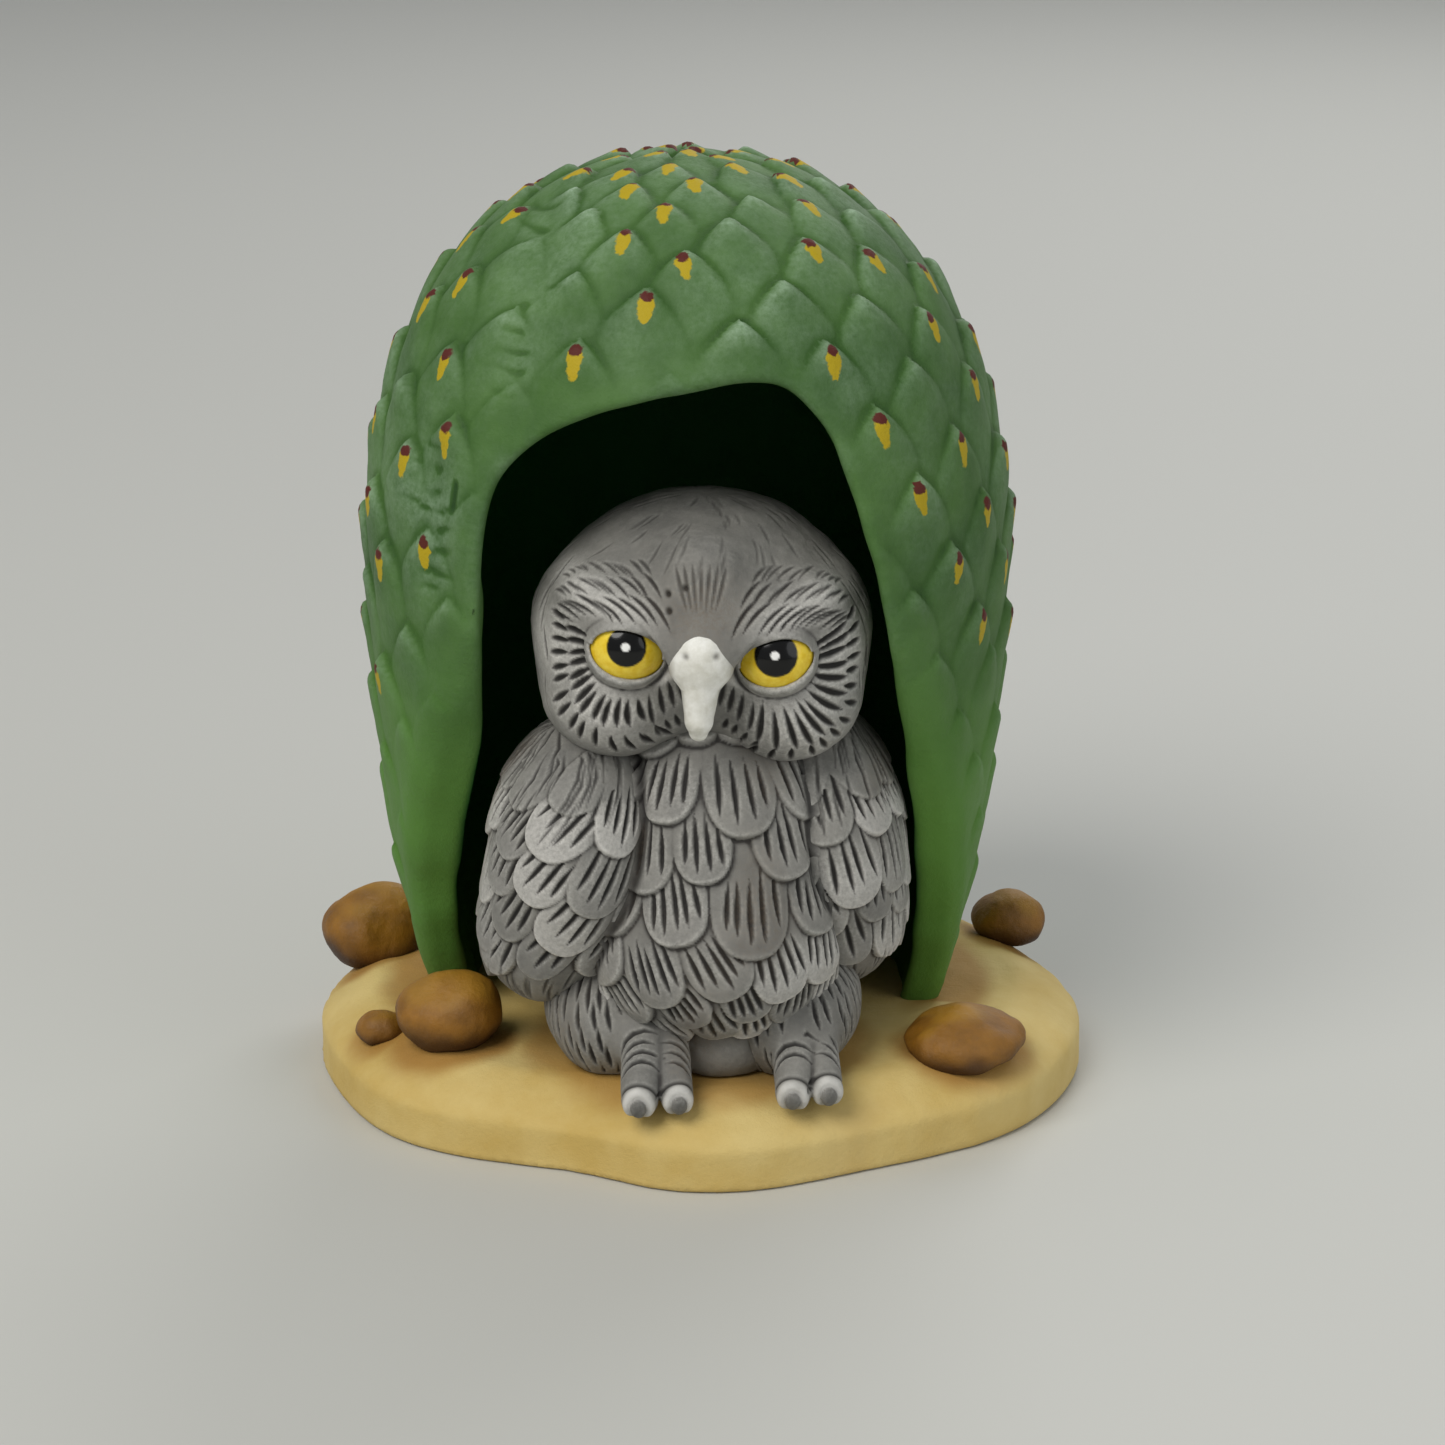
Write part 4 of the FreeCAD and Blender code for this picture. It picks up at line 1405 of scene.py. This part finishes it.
def make_leg(name, seed):
    """A feathered thigh and shank with two folded toes, white cuticles and grey claws."""
    low, high = box_mm(name)
    toes = toe_ends(name)
    thigh = np.array([(low[0] + high[0]) / 2 - 0.4, -21.6, 14.8])
    field = leg_field(thigh, toes)
    points, faces, normal = sculpt(field, low - 2.0, high + np.array([2.0, 2.0, 5.5]), "leg")
    work = Relief(points, seed)
    thigh_cuts(work, field, thigh, toes)
    white, nail, extra = np.zeros((3, len(points)))
    for root, tip, radius in toes:
        toe_rings(work, field, root, tip, radius)
        axis = unit(tip - root)
        claw = tip + axis * (radius * 0.80) + np.array([0, 0, 0.30])
        away = np.linalg.norm((points - claw) / np.array([0.85, 1.0, 1.05]), axis=1)
        nail = np.maximum(nail, smoothstep(1.10, 0.92, away))
        cuticle = smoothstep(1.0, 1.2, away) * smoothstep(2.25, 1.75, away)
        cuticle = cuticle * smoothstep(claw[2] - 1.5, claw[2] - 0.6, points[:, 2])
        white = np.maximum(white, cuticle * (0.8 + 0.3 * noise(points, 0.9, seed + 6)))
        ring = np.linalg.norm(points - claw, axis=1)
        work.depth = np.maximum(work.depth, 0.22 * bell(ring - 2.35, 0.18) * (points[:, 2] > 10.2))
        extra += 0.22 * smoothstep(1.15, 0.85, away) - 0.22 * bell(away - 1.15, 0.18)
        extra += 0.16 * bell(away - 1.6, 0.4)
    moved, cut = work.apply(normal, extra + 0.06 * rough_noise(points, 2.5, seed + 1))
    cut = cut * (1 - 0.8 * white)
    cut = np.maximum(cut, 0.5 * nail)
    masks = paint_masks(moved, faces, cut, 0.1 * white)
    masks["white"] = white * 0.85
    add_piece(f"{name}_feathered", name, owl_material, moved, faces, masks)


# ---- stage


def make_stage():
    """A plain pale floor, wide enough to fill the view."""
    floor = bpy.data.meshes.new("floor")
    corners = [(x * FLOOR_REACH, y * FLOOR_REACH, 0) for x, y in ((-1, -1), (1, -1), (1, 1), (-1, 1))]
    floor.from_pydata(corners, [], [(0, 1, 2, 3)])
    piece = bpy.data.objects.new("floor", floor)
    bpy.context.scene.collection.objects.link(piece)
    paper = Paint("floor_paper")
    paper.shader.inputs["Base Color"].default_value = (*srgb(196, 196, 190), 1.0)
    paper.shader.inputs["Roughness"].default_value = 0.6
    floor.materials.append(paper.material)


def add_light(name, place, size, power, colour):
    """A round soft lamp that points at the object."""
    lamp = bpy.data.lights.new(name, "AREA")
    lamp.shape = "DISK"
    lamp.size = size
    lamp.energy = power
    lamp.color = colour
    holder = bpy.data.objects.new(name, lamp)
    holder.location = place
    holder.rotation_euler = (Vector(LAMP_TARGET) - Vector(place)).to_track_quat("-Z", "Y").to_euler()
    bpy.context.scene.collection.objects.link(holder)


def light_scene():
    """Soft studio light: a key lamp on the left, a weak fill, a lamp behind and an even pale sky."""
    add_light("key", (-0.42, -0.52, 0.75), size=0.60, power=6.0, colour=(1.0, 0.98, 0.95))
    add_light("fill", (0.7, -0.5, 0.35), size=0.7, power=1.5, colour=(0.95, 0.98, 1.0))
    add_light("back", (0.3, 0.7, 0.6), size=0.6, power=2.4, colour=(1.0, 1.0, 1.0))
    bpy.context.scene.view_settings.view_transform = "Standard"
    world = bpy.data.worlds.new("studio")
    bpy.context.scene.world = world
    world.use_nodes = True
    sky = world.node_tree.nodes["Background"]
    sky.inputs["Color"].default_value = WORLD_COLOUR
    sky.inputs["Strength"].default_value = WORLD_STRENGTH


def place_camera():
    """Looks down from the front, from 0.4 m, through a long lens."""
    lens = bpy.data.cameras.new("camera")
    lens.lens = CAMERA_LENS
    lens.sensor_width = SENSOR_WIDTH
    lens.clip_start = 0.01
    camera = bpy.data.objects.new("camera", lens)
    camera.location = CAMERA_PLACE
    camera.rotation_euler = (math.radians(90 - CAMERA_DOWN), 0, 0)
    bpy.context.scene.collection.objects.link(camera)
    bpy.context.scene.camera = camera


# ---- build

make_shell()
make_base()
stone_material = stone_paint()
for seed, stone_name in enumerate(STONES):
    make_stone(stone_name, 60 + 10 * seed)
owl_material = owl_paint()
eye_material = eye_paint()
make_head()
make_eye("eye_left", -1)
make_eye("eye_right", 1)
make_beak()
make_torso()
make_wing("owl_wing_left", -1, 25)
make_wing("owl_wing_right", 1, 35)
make_leg("owl_leg_left", 45)
make_leg("owl_leg_right", 55)
make_stage()
light_scene()
place_camera()
